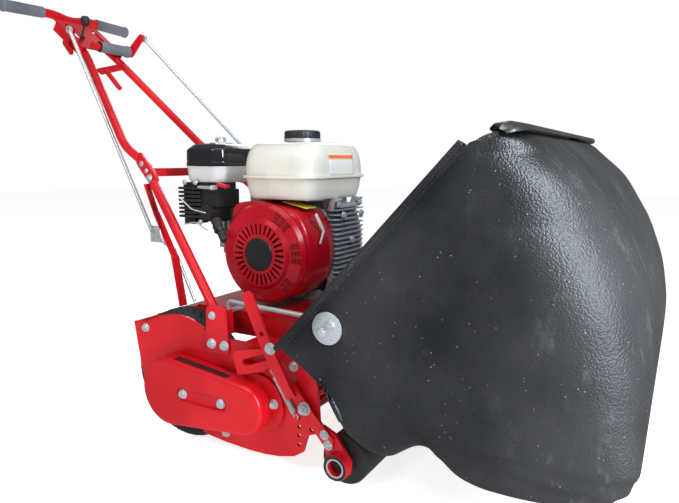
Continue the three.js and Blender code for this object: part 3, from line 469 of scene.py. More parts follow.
# A closed flat outline (x, z) from y low to y high, its rims rounded off by the edge.
def plate(outline, low, high, edge=0.7, plane="xz"):
    flat = np.array(outline, float)
    ahead = np.roll(flat, -1, 0) - np.roll(flat, 1, 0)
    turn = np.sum(flat[:, 0] * np.roll(flat[:, 1], -1) - flat[:, 1] * np.roll(flat[:, 0], -1))
    inward = np.stack([-ahead[:, 1], ahead[:, 0]], -1) * (1 if turn > 0 else -1)
    inward /= np.linalg.norm(inward, axis=1)[:, None] + 1e-9
    edge = min(edge, (high - low) * 0.49)
    levels = [
        (low, edge), (low + 0.3 * edge, 0.3 * edge), (low + edge, 0), (high - edge, 0),
        (high - 0.3 * edge, 0.3 * edge), (high, edge)
    ]
    rows = []
    for level, inset in levels:
        at = flat + inward * inset
        h = np.full((len(flat), 1), level)
        rows.append(np.hstack([at[:, :1], h, at[:, 1:]]) if plane == "xz" else np.hstack([at, h]))
    return gridShape(np.array(rows), capStart=True, capEnd=True)


# A plate whose outline lies in any plane: u along p to q, v across, thick along the third direction.
def leanPlate(outline, origin, u, v, low, high, edge=0.6):
    points, corners, sizes = plate(outline, low, high, edge)
    u, v = np.array(u, float) / np.linalg.norm(u), np.array(v, float)
    v = v - (v @ u) * u
    v /= np.linalg.norm(v)
    n = np.cross(u, v)
    placed = np.array(origin, float) + points[:, :1] * u + points[:, 2:] * v + points[:, 1:2] * n
    return placed, corners, sizes


# Outline of a belt round two pulleys, the same number of points on each arc.
def beltLoop(x1, z1, r1, x2, z2, r2, steps=40):
    distance, heading = math.hypot(x2 - x1, z2 - z1), math.atan2(z2 - z1, x2 - x1)
    spread = math.acos((r1 - r2) / distance)
    a = heading - spread + 2 * spread * np.linspace(0, 1, steps)
    b = heading + spread + 2 * (math.pi - spread) * np.linspace(0, 1, steps)
    far = np.stack([x2 + r2 * np.cos(a), z2 + r2 * np.sin(a)], -1)
    near = np.stack([x1 + r1 * np.cos(b), z1 + r1 * np.sin(b)], -1)
    return np.concatenate([far, near])


# Copies of a shape drawn at the origin along +Z, turned to a direction and set at each place.
def copies(shape, places, direction, turns=None):
    side, up, along = axesFor(direction)
    places = np.array(places, float)
    turns = np.linspace(0, 2.4, len(places)) if turns is None else np.array(turns, float)
    x, y, z = shape[0].T
    c, s = np.cos(turns)[:, None], np.sin(turns)[:, None]
    spun = (x * c - y * s)[..., None] * side + (x * s + y * c)[..., None] * up + z[None, :, None] * along
    points = (places[:, None] + spun).reshape(-1, 3)
    corners = (shape[1][None] + np.arange(len(places))[:, None] * len(shape[0])).ravel()
    return points, corners, np.tile(shape[2], len(places))


# Hexagon radius over the angle: flat / cos(distance to the nearest flat's middle), cut by a circle.
def hexRadius(flat, limit, sides=36):
    t = np.arange(sides) * 2 * np.pi / sides
    return np.minimum(flat / np.cos((t + np.pi / 6) % (np.pi / 3) - np.pi / 6), limit)


# A bolt head on its washer, along +Z: rows of radius against height, round or six-sided.
def boltShape(flat=6.2, head=5.0, washer=9.0, thick=1.6, stud=0.0, dome=False):
    sides = 36
    rounds = np.ones(sides)
    corner = flat * 1.1547
    rows = [
        (0 * rounds, 0), (washer * rounds, 0), (washer * rounds, thick * 0.6),
        ((washer - 0.6) * rounds, thick)
    ]
    if dome:
        t = np.linspace(0, np.pi / 2, 7)
        rows += [(flat * 1.15 * np.cos(a) * rounds, thick + head * 0.75 * np.sin(a)) for a in t]
    else:
        rows += [(hexRadius(flat, corner), thick), (hexRadius(flat, corner), thick + head * 0.82)]
        rows += [(hexRadius(flat, flat * 1.03), thick + head * 0.97), (flat * 0.86 * rounds, thick + head)]
        if stud:
            rows += [
                (flat * 0.56 * rounds, thick + head), (flat * 0.56 * rounds, thick + head + stud * 0.85)
            ]
            rows += [(flat * 0.44 * rounds, thick + head + stud)]
        rows += [(0 * rounds, rows[-1][1])]
    t = np.arange(sides) * 2 * np.pi / sides
    p = np.array([np.stack([r * np.cos(t), r * np.sin(t), np.full(sides, float(h))], -1) for r, h in rows])
    return gridShape(p)


# A box with rounded edges: the unit sphere direction to a power pushes the corners out.
def softBlock(low, high, power=0.25, steps=24):
    low, high = np.array(low, float), np.array(high, float)
    v = np.linspace(-np.pi / 2, np.pi / 2, steps)[:, None]
    t = (np.arange(steps * 2) * np.pi / steps)[None, :]
    swell = lambda w: np.sign(w) * np.abs(w) ** power
    girth = swell(np.cos(v))
    girth[[0, -1]] = 0
    p = np.stack(
        [girth * swell(np.cos(t)), girth * swell(np.sin(t)), swell(np.sin(v)) * np.ones_like(t)], -1
    )
    return gridShape((low + high) / 2 + p * (high - low) / 2)


# Puts a shape into one mesh, joins its doubles, faces it outwards and rides it on its body.
def putPiece(name, shape, body, paint, slot=None, nodes=(), crease=34, wall=None, bevel=None):
    points, corners, sizes = shape
    mesh = bpy.data.meshes.new(name)
    mesh.vertices.add(len(points))
    mesh.vertices.foreach_set("co", ((points + toFrame) * 0.001).astype(np.float32).ravel())
    mesh.loops.add(len(corners))
    mesh.loops.foreach_set("vertex_index", corners.astype(np.int32))
    mesh.polygons.add(len(sizes))
    mesh.polygons.foreach_set("loop_start", (np.cumsum(sizes) - sizes).astype(np.int32))
    mesh.update(calc_edges=True)
    mesh.validate()
    work = bmesh.new()
    work.from_mesh(mesh)
    bmesh.ops.remove_doubles(work, verts=work.verts, dist=2e-6)
    bmesh.ops.recalc_face_normals(work, faces=work.faces)
    work.to_mesh(mesh)
    work.free()
    mesh.polygons.foreach_set("use_smooth", np.ones(len(mesh.polygons), bool))
    mesh.set_sharp_from_angle(angle=math.radians(crease))
    made = bpy.data.objects.new(name, mesh)
    bpy.context.scene.collection.objects.link(made)
    mesh.materials.append(paints[paint].material if isinstance(paint, str) else paint.material)
    if wall:
        solid = made.modifiers.new("wall", "SOLIDIFY")
        solid.thickness, solid.offset = abs(wall) * 0.001, math.copysign(1, wall)
    if bevel:
        soft = made.modifiers.new("softEdges", "BEVEL")
        soft.width, soft.segments, soft.angle_limit = bevel * 0.001, 2, math.radians(35)
    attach(made, body)
    if nodes:
        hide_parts(*nodes)
    return made


# A right piece and its mirror image, each on its own body, with Right and Left added to the name.
def bothSides(name, shape, bodies, paint, slot, nodes=None, **more):
    sides = zip(("Right", "Left"), (shape, mirrored(shape)), bodies, nodes or ((), ()))
    for side, made, body, node in sides:
        putPiece(name + side, made, body, paint, slot, node, **more)


# A CAD node shown as it is, in a better finish.
def dress(node, paint):
    mesh = frame["nodes"][node].data
    mesh.materials.clear()
    mesh.materials.append(paints[paint].material)


# A merged copy of a CAD node with its round faces shaded smooth.
def refine(node, paint, body, crease=34):
    mesh = frame["nodes"][node].data.copy()
    mesh.materials.clear()
    work = bmesh.new()
    work.from_mesh(mesh)
    bmesh.ops.remove_doubles(work, verts=work.verts, dist=2e-6)
    work.to_mesh(mesh)
    work.free()
    if "custom_normal" in mesh.attributes:
        mesh.attributes.remove(mesh.attributes["custom_normal"])
    mesh.polygons.foreach_set("use_smooth", np.ones(len(mesh.polygons), bool))
    mesh.set_sharp_from_angle(angle=math.radians(crease))
    mesh.materials.append(paints[paint].material)
    made = bpy.data.objects.new(node + ".smooth", mesh)
    bpy.context.scene.collection.objects.link(made)
    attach(made, body)
    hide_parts(node)
    return made


floorPoints = np.array([[[-9e3, -9e3, 0.3], [9e3, -9e3, 0.3]], [[-9e3, 9e3, 0.3], [9e3, 9e3, 0.3]]])
paints["lip"] = mouldedSkin("catcherLip", (0.026, 0.024, 0.023), 0.36, 420, 0.00012, 0.15)
paints["floor"] = mouldedSkin("studioFloor", studio["floorColour"], 0.6, 30, 0.00002, spread=0.02, edge=0)
paints["floor"].put("Emission Color", (1, 1, 1, 1))
paints["floor"].put("Emission Strength", studio["floorGlow"])
floor = putPiece("floor", gridShape(floorPoints, wrapColumns=False), "frame", "floor")
floor.parent = None
floor.visible_glossy = False

# Catcher

catcher = {
    "halfWidth": 327,
    "cornerRound": 20,
    "wall": 4,
    "steps": ((148, 4.0), (124, 4.0)),
    "softHeights": (80, 150, 300, 450, 540, 590),
    "softReach": (46, 46, 100, 138, 104, 34),
    "flange": [
        (12.6, 1.5), (12.8, 6), (12, 7.2), (9.4, 7), (8.2, 5.6), (7.6, 4.2), (2.5, 3.8), (0.6, 2.2), (0, 0)
    ],
}
catcherSide = [
    (285, 240), (292, 232), (330, 205), (372, 178), (392, 150), (398, 122), (430, 104), (463, 101),
    (484, 116), (508, 131), (534, 130), (553, 112), (572, 95), (602, 88), (650, 88), (704, 93),
    (754, 104), (779, 122), (787, 150), (790, 200), (792, 270), (780, 350), (752, 430), (706, 505),
    (640, 562), (612, 572), (588, 564), (570, 548),
]


# The side profile P(u) is carried across the machine. Each point also has a rim point R(u): the wall runs
# from R to P, rounds the corner and crosses to the other side. The half width at x, z is the full one less
# soft * g(s), with g an eased cubic and s running from 0 to 1 over the last 1.2 * soft before the front.
def catcherShell():
    line = soften(catcherSide, 26, 7, False)
    gaps = np.concatenate([[0], np.cumsum(np.linalg.norm(np.diff(line, axis=0), axis=1))])
    u = np.linspace(0, 1, 224)
    px, pz = np.interp(u * gaps[-1], gaps, line[:, 0]), np.interp(u * gaps[-1], gaps, line[:, 1])
    share = 0.5 * u + 0.5 * (3 * u**2 - 2 * u**3)
    rx, rz = 285 + (570 - 285) * share, 240 + (548 - 240) * share
    front = line[np.argmax(line[:, 0]) : np.argmax(line[:, 1]) + 1]
    rising = front[np.argsort(front[:, 1])]
    frontAt = lambda z: np.interp(z, rising[:, 1], rising[:, 0])
    t = np.linspace(0, 1, 40)
    curveX = 3 * t * (1 - t) ** 2 * 0.583 + 3 * t**2 * (1 - t) + t**3
    curveY = 3 * t**2 * (1 - t) * 0.45 + t**3

    def halfAt(x, z):
        reachIn = 1.2 * np.interp(z, catcher["softHeights"], catcher["softReach"])
        s = (x - (frontAt(z) - reachIn)) / reachIn
        return catcher["halfWidth"] - reachIn / 1.2 * np.interp(s, curveX, curveY)

    reach = np.hypot(rx - px, rz - pz)
    ex, ez = (rx - px) / (reach + 1e-9), (rz - pz) / (reach + 1e-9)
    low = 1 - np.clip((pz - 96) / 34, 0, 1) ** 2
    low = np.where(px < 600, 1, low)
    top = np.clip((pz - 500) / 70, 0, 1)
    radius = (np.minimum(3 + (catcher["cornerRound"] - 3) * np.maximum(low, top), 0.45 * reach))[:, None]
    down = np.linspace(1, 0, 62)[None, :] ** 1.2
    d = radius + (reach[:, None] - radius) * down
    wallX, wallZ = px[:, None] + ex[:, None] * d, pz[:, None] + ez[:, None] * d
    fade = np.clip((reach[:, None] - d) / 30, 0, 1)
    wallY = -(halfAt(wallX, wallZ) * fade + catcher["halfWidth"] * (1 - fade))
    a = np.linspace(0, np.pi / 2, 9)[None, 1:]
    d = radius * (1 - np.sin(a))
    cornerX, cornerZ = px[:, None] + ex[:, None] * d, pz[:, None] + ez[:, None] * d
    cornerY = -(halfAt(cornerX, cornerZ) - radius * (1 - np.cos(a)))
    lips = np.array(catcher["flange"])
    lipX = rx[:, None] - 0.728 * lips[None, :-1, 1]
    lipZ = rz[:, None] + 0.685 * lips[None, :-1, 1]
    lipY = -(catcher["halfWidth"] + lips[None, :-1, 0]) * np.ones_like(lipX)
    x, y, z = (
        np.hstack(k) for k in ((lipX, wallX, cornerX), (lipY, wallY, cornerY), (lipZ, wallZ, cornerZ))
    )
    # Each step draws the whole skin in below its height, over about 5 mm
    inset = sum(
        deep / (1 + np.exp(np.clip((z - height) / 1.8, -40, 40))) for height, deep in catcher["steps"]
    )
    inset = inset * np.clip((x - 470) / 40, 0, 1)
    y = y + inset * np.clip(-y / 200, 0, 1)
    x = x - inset * np.clip((x - 740) / 30, 0, 1)
    across = np.linspace(-1, 1, 26)[None, 1:-1]
    midX, midZ = np.repeat(x[:, -1:], 24, 1), np.repeat(z[:, -1:], 24, 1)
    midY = -y[:, -1:] * across
    p = np.stack(
        [
            np.hstack([x, midX, x[:, ::-1]]), np.hstack([y, midY, -y[:, ::-1]]),
            np.hstack([z, midZ, z[:, ::-1]])
        ],
        -1
    )
    return gridShape(p, wrapColumns=False)


# The flared lip along the mouth's top edge: a short curved section carried across, its ends turned down.
def mouthLip():
    turn = np.linspace(0, np.pi / 2, 7)
    path = np.concatenate([
        np.stack([606 + 6 * np.sin(turn), -302 + 14 * (1 - np.cos(turn)), 566 + 8 * np.sin(turn)], -1),
        [(612, y, 574) for y in np.linspace(-270, 276, 12)],
        np.stack([606 + 6 * np.cos(turn), 292 + 14 * np.sin(turn), 566 + 8 * np.cos(turn)], -1),
    ])
    section = soften(
        [(-26, -7), (-24, 1), (0, 6), (20, 4), (27, -3), (25, -6), (17, 0), (0, 2), (-21, -3)], 3, 4
    )
    return carry(path, section, (0, 0, 1))


putPiece(
    "catcherShell", catcherShell(), "catcher", "catcher", "catcher_plastic", ["catcher"], crease=50,
    wall=-catcher["wall"]
)
putPiece("mouthLip", mouthLip(), "catcher", "lip")
discShape = together(
    spin(
        [(0, 0), (24.2, 0), (25, 0.8), (25, 2), (24.2, 2.5), (0, 2.5)], (366, -327.3, 286), (0, -1, 0), 64
    ),
    copies(boltShape(5.2, 3.2, 7.0, 1.0), [(358, -329.8, 279), (374, -329.8, 293)], (0, -1, 0)),
)
bothSides(
    "hangerDisc", discShape, ("catcher", "catcher"), "zinc", "zinc",
    (["hanger_disc_right"], ["hanger_disc_left"])
)
print("catcher made")

# Handle

handle = {"tube": 9.5, "bar": 10.6, "tongueWide": 26, "tongueThick": 4, "rod": 4.2}
joint = np.array([-196.0, -140, 508])
lowDirection = np.array([-284.5, 111, 254]) / np.linalg.norm([-284.5, 111, 254])
tongueSide = np.cross(lowDirection, (0, 1, 0))
tongueSide /= np.linalg.norm(tongueSide)


# A flattened tube end: a strip from p to q with round ends, thick across both.
def tongue(p, q, wide, thick):
    p, q = np.array(p, float), np.array(q, float)
    length = np.linalg.norm(q - p)
    return leanPlate(
        beltLoop(0, 0, wide / 2, length, 0, wide / 2 - 0.01, 16), p, q - p, tongueSide, -thick / 2,
        thick / 2, 0.8
    )


lowEnd = joint + (26, -10, -24)
lowerHandle = together(
    roundBar([(88.5, -254, 254), lowEnd], handle["tube"], sides=36),
    tongue(lowEnd + (-2, 2, 3), joint + (-24, 2.0, 22), handle["tongueWide"], handle["tongueThick"]),
    spin([(0, 0), (11, 0), (12, 1), (12, 20.7), (11, 21.7), (0, 21.7)], (88.5, -264.7, 254), (0, 1, 0), 40),
)
upperStart = joint + (-34, 9, 26)
upperHandle = together(
    roundBar(
        [upperStart, (-279, -127, 562), (-496.7, -46, 790.8), (-588.7, -32, 862.8)], handle["tube"], 30, 36
    ),
    tongue(joint + (20, -1.8, -19), upperStart + (0, 0.6, 1), handle["tongueWide"], handle["tongueThick"]),
)
bothSides(
    "lowerHandle", lowerHandle, ("frame", "frame"), "red", "frame_red",
    (["lower_handle_right"], ["lower_handle_left"])
)
bothSides(
    "upperHandle", upperHandle, ("frame", "frame"), "red", "frame_red",
    (["upper_handle_right"], ["upper_handle_left"])
)

barPath = [(-611, -177, 891), (-607, -48, 895), (-607, 0, 885), (-607, 48, 895), (-611, 177, 891)]
putPiece(
    "handlebarTube", roundBar(barPath, handle["bar"], 22, 36), "frame", "red", "frame_red", ["handlebar"]
)
barAlong = np.array([4.0, 129, 4]) / np.linalg.norm([4.0, 129, 4])
gripProfile = [
    (0, -3.6), (10, -3.6), (13.9, -2.7), (14.8, -1.4), (14.8, 2), (14.0, 3.2), (13.3, 6), (13.6, 30),
    (13.2, 55),
    (13.4, 82), (13.0, 94), (13.3, 96), (13.3, 99), (12.9, 100), (11.3, 100), (11.3, 2), (0, 2),
]
gripShape = spin(gripProfile, np.array([-611, -177, 891.0]), barAlong, 56)
bothSides("grip", gripShape, ("frame", "frame"), "grip", "grip_rubber", (["grip_right"], ["grip_left"]))

# Two bolts and a rivet through each pair of flattened tube ends, heads outwards
jointLine = lambda t: joint + lowDirection * t
jointOut = np.cross(lowDirection, tongueSide)
jointOut *= -np.sign(jointOut[1])
jointBolts = copies(
    boltShape(5.6, 4.2, 8.5, 1.4), [jointLine(t) + jointOut * 4.3 for t in (-24, 22)], jointOut
)
jointRivet = copies(boltShape(4.4, 3.2, 6.0, 0.6, dome=True), [jointLine(0) + jointOut * 4.3], jointOut)
jointNuts = copies(
    boltShape(5.6, 5.0, 8.0, 1.4, 4), [jointLine(t) - jointOut * 6.5 for t in (-24, 0, 22)], -jointOut
)
jointShape = together(jointBolts, jointRivet, jointNuts)
bothSides("jointBolts", jointShape, ("frame", "frame"), "zinc", "zinc")


# A clutch rod with an eye at each end that is listed.
def linkRod(p, q, eyes, thick=7.0):
    rings = [
        spin(
            [
                (4, -thick / 2), (8.2, -thick / 2), (9, -thick / 2 + 0.8), (9, thick / 2 - 0.8),
                (8.2, thick / 2), (4, thick / 2), (4, -thick / 2)
            ],
            e, (0, 1, 0), 40
        ) for e in eyes
    ]
    return together(roundBar([p, q], handle["rod"], sides=24), *rings)


putPiece(
    "driveClutchRod", linkRod((-512, -76, 843), (-204, -130, 378), [(-512, -76, 843)]), "drive_clutch_rod",
    "zinc", "zinc", ["clutch_rod_right"]
)
putPiece(
    "reelClutchRod", linkRod((-431, 82, 841), (34, 183, 362), [(-431, 82, 841), (34, 183, 362)]),
    "reel_clutch_rod", "zinc", "zinc", ["clutch_rod_left"]
)
catcherRod = together(
    roundBar([(84, -218, 251), (85, -218, 272), (120, -218, 270), (356, -218, 262)], 4.5, 9, 24, (0, 1, 0)),
    softBlock((76, -226, 250.3), (92, -180, 254), 0.15, 10),
)
bothSides(
    "catcherRod", catcherRod, ("frame", "frame"), "zinc", "zinc",
    (["catcher_rod_right"], ["catcher_rod_left"])
)
clevis = together(
    plate([(-216, 352), (-184, 352), (-184, 388), (-216, 388)], -124.2, -120.6, 0.8),
    roundBar(
        [(-188, -123, 380), (-176, -125, 352), (-140, -130, 346), (-84, -130, 233)], 3.6, 12, 20, (0, 1, 0)
    ),
    copies(boltShape(4.4, 3.4, 6.5, 1.0), [(-206, -124.2, 378)], (0, -1, 0)),
)
putPiece("driveClutchLink", clevis, "drive_clutch_link", "zinc", "zinc", ["clutch_link_right"])

leverGrip = spin(
    [
        (9, -26), (12.6, -26), (13.1, -24), (12.9, 20), (13.1, 54), (14.6, 56), (14.8, 60), (14.2, 63),
        (12, 64.3), (9, 64.4)
    ],
    (-470, 0, 808), (0, 1, 0), 48
)
putPiece("leverGrip", leverGrip, "reel_clutch_lever", "grip", "grip_rubber")
print("handle made")

# Chain cover

cover = {"face": -305, "rimRound": 8, "wall": 3}


# Rows between nested belt outlines: back edge, rounded rim, face, the sunk slot, and the same again inside.
def chainCoverShape():
    loop = lambda inset, y: (beltLoop(7, 108.5, 65 - inset, 175, 108.5, 46 - inset, 60), y)
    sunk = lambda grow, y: (beltLoop(41.5, 110, 11 + grow, 134, 110, 11 + grow - 0.01, 60), y)
    face, r = cover["face"], cover["rimRound"]
    rows = [
        sunk(1.5, face + 8), sunk(2, face + 7), sunk(2.4, face + 3.2), loop(6, face + 3), loop(3, face + 8),
        loop(3, -265.4), loop(0.4, -265.3), loop(0, -266)
    ]
    rows += [
        loop(r * (1 - math.cos(a)), face + r * (1 - math.sin(a))) for a in np.linspace(0, math.pi / 2, 9)
    ]
    rows += [
        loop(r + 3, face + 0.15), loop(r + 6, face + 0.2), sunk(3.2, face + 0.2), sunk(2, face + 0.5),
        sunk(1.2, face + 1.6), sunk(0.8, face + 4.4), sunk(0, face + 5)
    ]
    p = []
    for outline, y in rows:
        level = np.full(len(outline), float(y))
        nearBoss = np.hypot(outline[:, 0] - 190, outline[:, 1] - 112) < 54.8
        p.append(
            np.stack(
                [outline[:, 0], np.where(nearBoss, np.minimum(level, -271.4), level), outline[:, 1]], -1
            )
        )
    return gridShape(np.array(p), capStart=True, capEnd=True)


putPiece("chainCover", chainCoverShape(), "frame", "red", "frame_red", ["chain_cover"], crease=40)
coverBolts = copies(boltShape(6.2, 4.2, 9.2, 1.6), [(42, -300, 110), (132, -300, 110)], (0, -1, 0))
putPiece("coverBolts", coverBolts, "frame", "zinc", "zinc")


# A thin strip that lies on the cover's top wall, following its slope.
def coverStripShape():
    s = np.linspace(0.04, 0.78, 30)
    x, z = 14.4 + 165.8 * s, 173.1 - 18.9 * s
    rows = [
        np.stack([x + 0.03, np.full(30, y), z + lift], -1) for y,
        lift in ((-299, 0.1), (-298.7, 0.4), (-284.3, 0.4), (-284, 0.1))
    ]
    return gridShape(np.array(rows), wrapColumns=False)


paints["strip"] = bandedLabel(
    "coverStrip", 2, [(0.0, (0.012, 0.008, 0.009)), (1.0, (0.03, 0.02, 0.02))], 0.4
)
putPiece("coverStrip", coverStripShape(), "frame", "strip", wall=0.3)
print("chain cover made")

# Wheels, roller and reel

running = {"tyreRadius": 126, "grooveDeep": 3.0, "lugs": 44}


# Tyre: a profile (radius, y) round the shaft; slanted grooves lower the tread where the wave is narrow.
def tyreShape():
    outer = running["tyreRadius"]
    half = [(88, 4), (89.5, 2), (104, 0.2), (112, 0.6), (118, 2.6), (123, 6.4), (125.4, 10), (outer, 13)]
    across = np.linspace(13, 32, 15)[1:-1]
    rows = half + [(outer, a) for a in across] + [(r, 45 - a) for r, a in half[::-1]]
    rows = np.array(rows + [(88, 38), (88, 7)])
    sides = running["lugs"] * 10
    t = np.arange(sides) * 2 * np.pi / sides
    mid = rows[:, 1] - 22.5
    lean = np.abs(mid)[:, None] * 0.012
    phase = t[None] * running["lugs"] / (2 * np.pi) + lean * running["lugs"] / 6.28
    cut = np.exp(-((np.abs(phase % 1 - 0.5) / 0.13) ** 4))
    onTread = np.exp(-((np.abs(mid) / 20.5) ** 14))[:, None] * (rows[:, :1] > 117)
    rib = (np.exp(-((mid / 1.6) ** 2)))[:, None]
    radius = rows[:, :1] - running["grooveDeep"] * np.maximum(
        cut * (np.abs(mid)[:, None] > 3.4), rib
    ) * onTread
    x, z = radius * np.cos(t), outer + radius * np.sin(t)
    y = np.broadcast_to(-256 + rows[:, 1:2], x.shape)
    return gridShape(np.stack([x, y, np.maximum(z, 0.36)], -1), wrapRows=True)


tyre = tyreShape()
bothSides(
    "tyre", tyre, ("wheel_right", "wheel_left"), "rubber", "tyre", (["tyre_right"], ["tyre_left"]),
    crease=40
)

rollerProfile = [
    (0, -274), (11.6, -274), (12.6, -273), (12.6, -255), (37, -255), (40, -254.4), (42, -251), (42, 251),
    (40, 254.4), (37, 255), (12.6, 255), (12.6, 273), (11.6, 274), (0, 274)
]
rollerPoints, rollerCorners, rollerSizes = spin(rollerProfile, (354, 0, 42), (0, 1, 0), 72)
rollerPoints[:, 2] = np.maximum(rollerPoints[:, 2], 0.36)
putPiece(
    "frontRoller", (rollerPoints, rollerCorners, rollerSizes), "front_roller", "roller", "roller_black",
    ["front_roller"]
)
bearing = together(
    spin(
        [(16.5, 0), (20.8, 0), (20.8, 1.2), (19.5, 2), (17, 2), (16.5, 1.4), (16.5, 0)], (354, -285.2, 42),
        (0, -1, 0), 48
    ),
)
putPiece("bearingSeal", bearing, "height_levers", "rubber")
putPiece("bearingSealLeft", mirrored(bearing), "height_levers", "rubber")
race = together(
    spin(
        [(13.2, 0), (16.2, 0), (16.2, 1.6), (15.6, 2), (13.6, 2), (13.2, 1.6), (13.2, 0)],
        (354, -284.9, 42), (0, -1, 0), 48
    ),
)
putPiece("bearingRace", race, "height_levers", "zinc")
putPiece("bearingRaceLeft", mirrored(race), "height_levers", "zinc")


# Reel: strips twisted round the shaft; at height y the strip is turned by twist * 2y / length.
def reelShape(blades=7, radius=61, deep=17, thick=3.5, length=502, twist=0.75):
    y = np.linspace(-length / 2, length / 2, 60)
    section = soften(
        [
            (radius - deep, -thick / 2), (radius, -thick / 2), (radius, thick / 2),
            (radius - deep, thick / 2)
        ],
        0.7, 3
    )
    shapes = []
    for k in range(blades):
        a = (2 * np.pi * k / blades + twist * 2 * y / length)[:, None]
        x = 190 + section[None, :, 0] * np.cos(a) - section[None, :, 1] * np.sin(a)
        z = 112 + section[None, :, 0] * np.sin(a) + section[None, :, 1] * np.cos(a)
        shapes.append(
            gridShape(
                np.stack([x, np.broadcast_to(y[:, None], x.shape), z], -1), capStart=True, capEnd=True
            )
        )
    wheel = [
        (10.3, -9), (17.4, -9), (18, -8.4), (20, -3), (46.5, -3), (47.3, -2.2), (47.3, 2.2), (46.5, 3),
        (20, 3), (18, 8.4), (17.4, 9), (10.3, 9), (10.3, -9)
    ]
    for place in (-237, -85, 85, 237):
        shapes.append(spin(wheel, (190, place, 112), (0, 1, 0), 48))
    return together(*shapes)


putPiece("reelBlades", reelShape(), "reel", "red", "frame_red", ["reel_blades"])


# Return spring: a wire wound round the line from the upper hook to the lower one.
def springShape(top=(229, -281, 184), low=(272, -270.4, 102), coil=4.3, wire=1.05):
    top, low = np.array(top, float), np.array(low, float)
    side, up, along = axesFor(low - top, (0, 1, 0))
    length = np.linalg.norm(low - top)
    turns = int((length - 24) / (wire * 2.06))
    t = np.linspace(0, 1, turns * 14)[:, None]
    a = t * turns * 2 * np.pi
    body = top + along * (12 + (length - 24) * t) + coil * (np.cos(a) * side + np.sin(a) * up)
    h = np.linspace(0, 1, 16)[:, None]
    hookTop = top + along * (4 + 0 * h) + 4.0 * (np.sin(h * 4.6) * side - np.cos(h * 4.6) * along)
    hookLow = low - along * 4 + 4.0 * (np.sin(4.6 - h * 4.6) * -side + np.cos(4.6 - h * 4.6) * along)
    path = np.concatenate([hookTop, body, hookLow])
    return carry(path, circle(wire, 9), up + 0.37 * side)


putPiece("leverSpring", springShape(), "lever_spring", "zinc", "zinc", ["lever_spring"], crease=60)
print("wheels, roller and reel made")

# Engine

engine = {"crank": (122, 356), "tankCentre": (145.5, -46), "tankHalf": (88, 109), "tankPower": 6.6}


# Fan housing: its outline softened and met to circles round the crank by angle, row by row, then walled.
def fanHousingShape():
    corners = [
        (37, 330), (37, 428), (44, 446), (62, 452), (150, 448), (192, 436), (212, 408), (221, 370),
        (220, 330), (206, 298), (186, 278), (158, 268), (86, 268)
    ]
    outline = soften(corners, 26, 10) - np.array(engine["crank"])
    angles = np.arctan2(outline[:, 1], outline[:, 0])
    order = np.argsort(angles)
    t = np.linspace(-np.pi, np.pi, 220, endpoint=False)
    outer = np.interp(t, angles[order], np.hypot(*outline.T)[order], period=2 * np.pi)
    rows = [(outer, -58.4)] + [(outer, y) for y in (-80, -110, -136)]
    rows += [
        (outer - 12 * (1 - math.cos(a)), -138 - 12 * math.sin(a)) for a in np.linspace(0.2, math.pi / 2, 7)
    ]
    blend = lambda k: (outer - 12) * (1 - k) + 84 * k
    rows += [(blend(k), -150) for k in (0.3, 0.7, 1.0)] + [(blend(1) - 1, -146)]
    p = [np.stack([122 + r * np.cos(t), np.full(220, float(y)), 356 + r * np.sin(t)], -1) for r, y in rows]
    return gridShape(np.array(p))


putPiece(
    "fanHousing", fanHousingShape(), "frame", "darkRed", "engine_red", ["fan_cover"], crease=50, wall=-3
)
paints["capBlack"] = mouldedSkin("starterCap", (0.012, 0.012, 0.013), 0.32, 500, 0.00003, 0.3)
capProfile = [(31.6, 3), (31.6, 0), (31, -1.3), (29.6, -1.9), (22, -2.3), (0, -2.6)]
putPiece(
    "starterCap", spin([(0, 3)] + capProfile, (122, -173, 356), (0, 1, 0), 64), "frame", "capBlack",
    "black_plastic"
)


# Louvres: black strips of painted shade where the openings would be, in three arcs on the shoulder of the
# cover, each under a small hood.
def louvreShapes():
    dark, hood = [], []
    t = np.linspace(0, 1, 9)
    for middle, count in ((0.92, 3), (0.08, 3), (-0.75, 2)):
        for i in range(count):
            centre = middle + (i - (count - 1) / 2) * 0.17
            for k, r in enumerate((71.5, 78.5, 85.5)):
                a = centre + (t - 0.5) * 0.125
                y = -166 + (r - 67) * 3 / 23 - 0.25
                line = np.stack([122 + r * np.cos(a), np.full(9, y), 356 + r * np.sin(a)], -1)
                dark.append(
                    carry(line, [(-0.35, -1.7), (0.35, -1.7), (0.35, 1.7), (-0.35, 1.7)], (0, 1, 0))
                )
                rim = line + np.stack([2.6 * np.cos(a), np.full(9, -0.5), 2.6 * np.sin(a)], -1)
                hood.append(carry(rim, circle(1.1, 10), (0, 1, 0)))
    return together(*dark), together(*hood)


louvrePaintedShade, louvreHood = louvreShapes()
# The black strips are painted shade standing in for the depth of the louvre openings.
putPiece("louvreShadeStrips", louvrePaintedShade, "frame", "black")
putPiece("louvreHoods", louvreHood, "frame", "darkRed")


# Superellipse rows: x = cx + hx * s * cos / n, y alike, n = (|cos|^p + |sin|^p)^(1/p), stacked in z.
def pillow(cx, cy, hx, hy, power, rows, sides=160):
    t = np.arange(sides) * 2 * np.pi / sides
    n = (np.abs(np.cos(t)) ** power + np.abs(np.sin(t)) ** power) ** (1 / power)
    rows = np.array(rows, float)
    x = cx + hx * rows[:, 1:2] * np.cos(t) / n
    y = cy + hy * rows[:, 1:2] * np.sin(t) / n
    return np.stack([x, y, np.repeat(rows[:, :1], sides, 1)], -1)


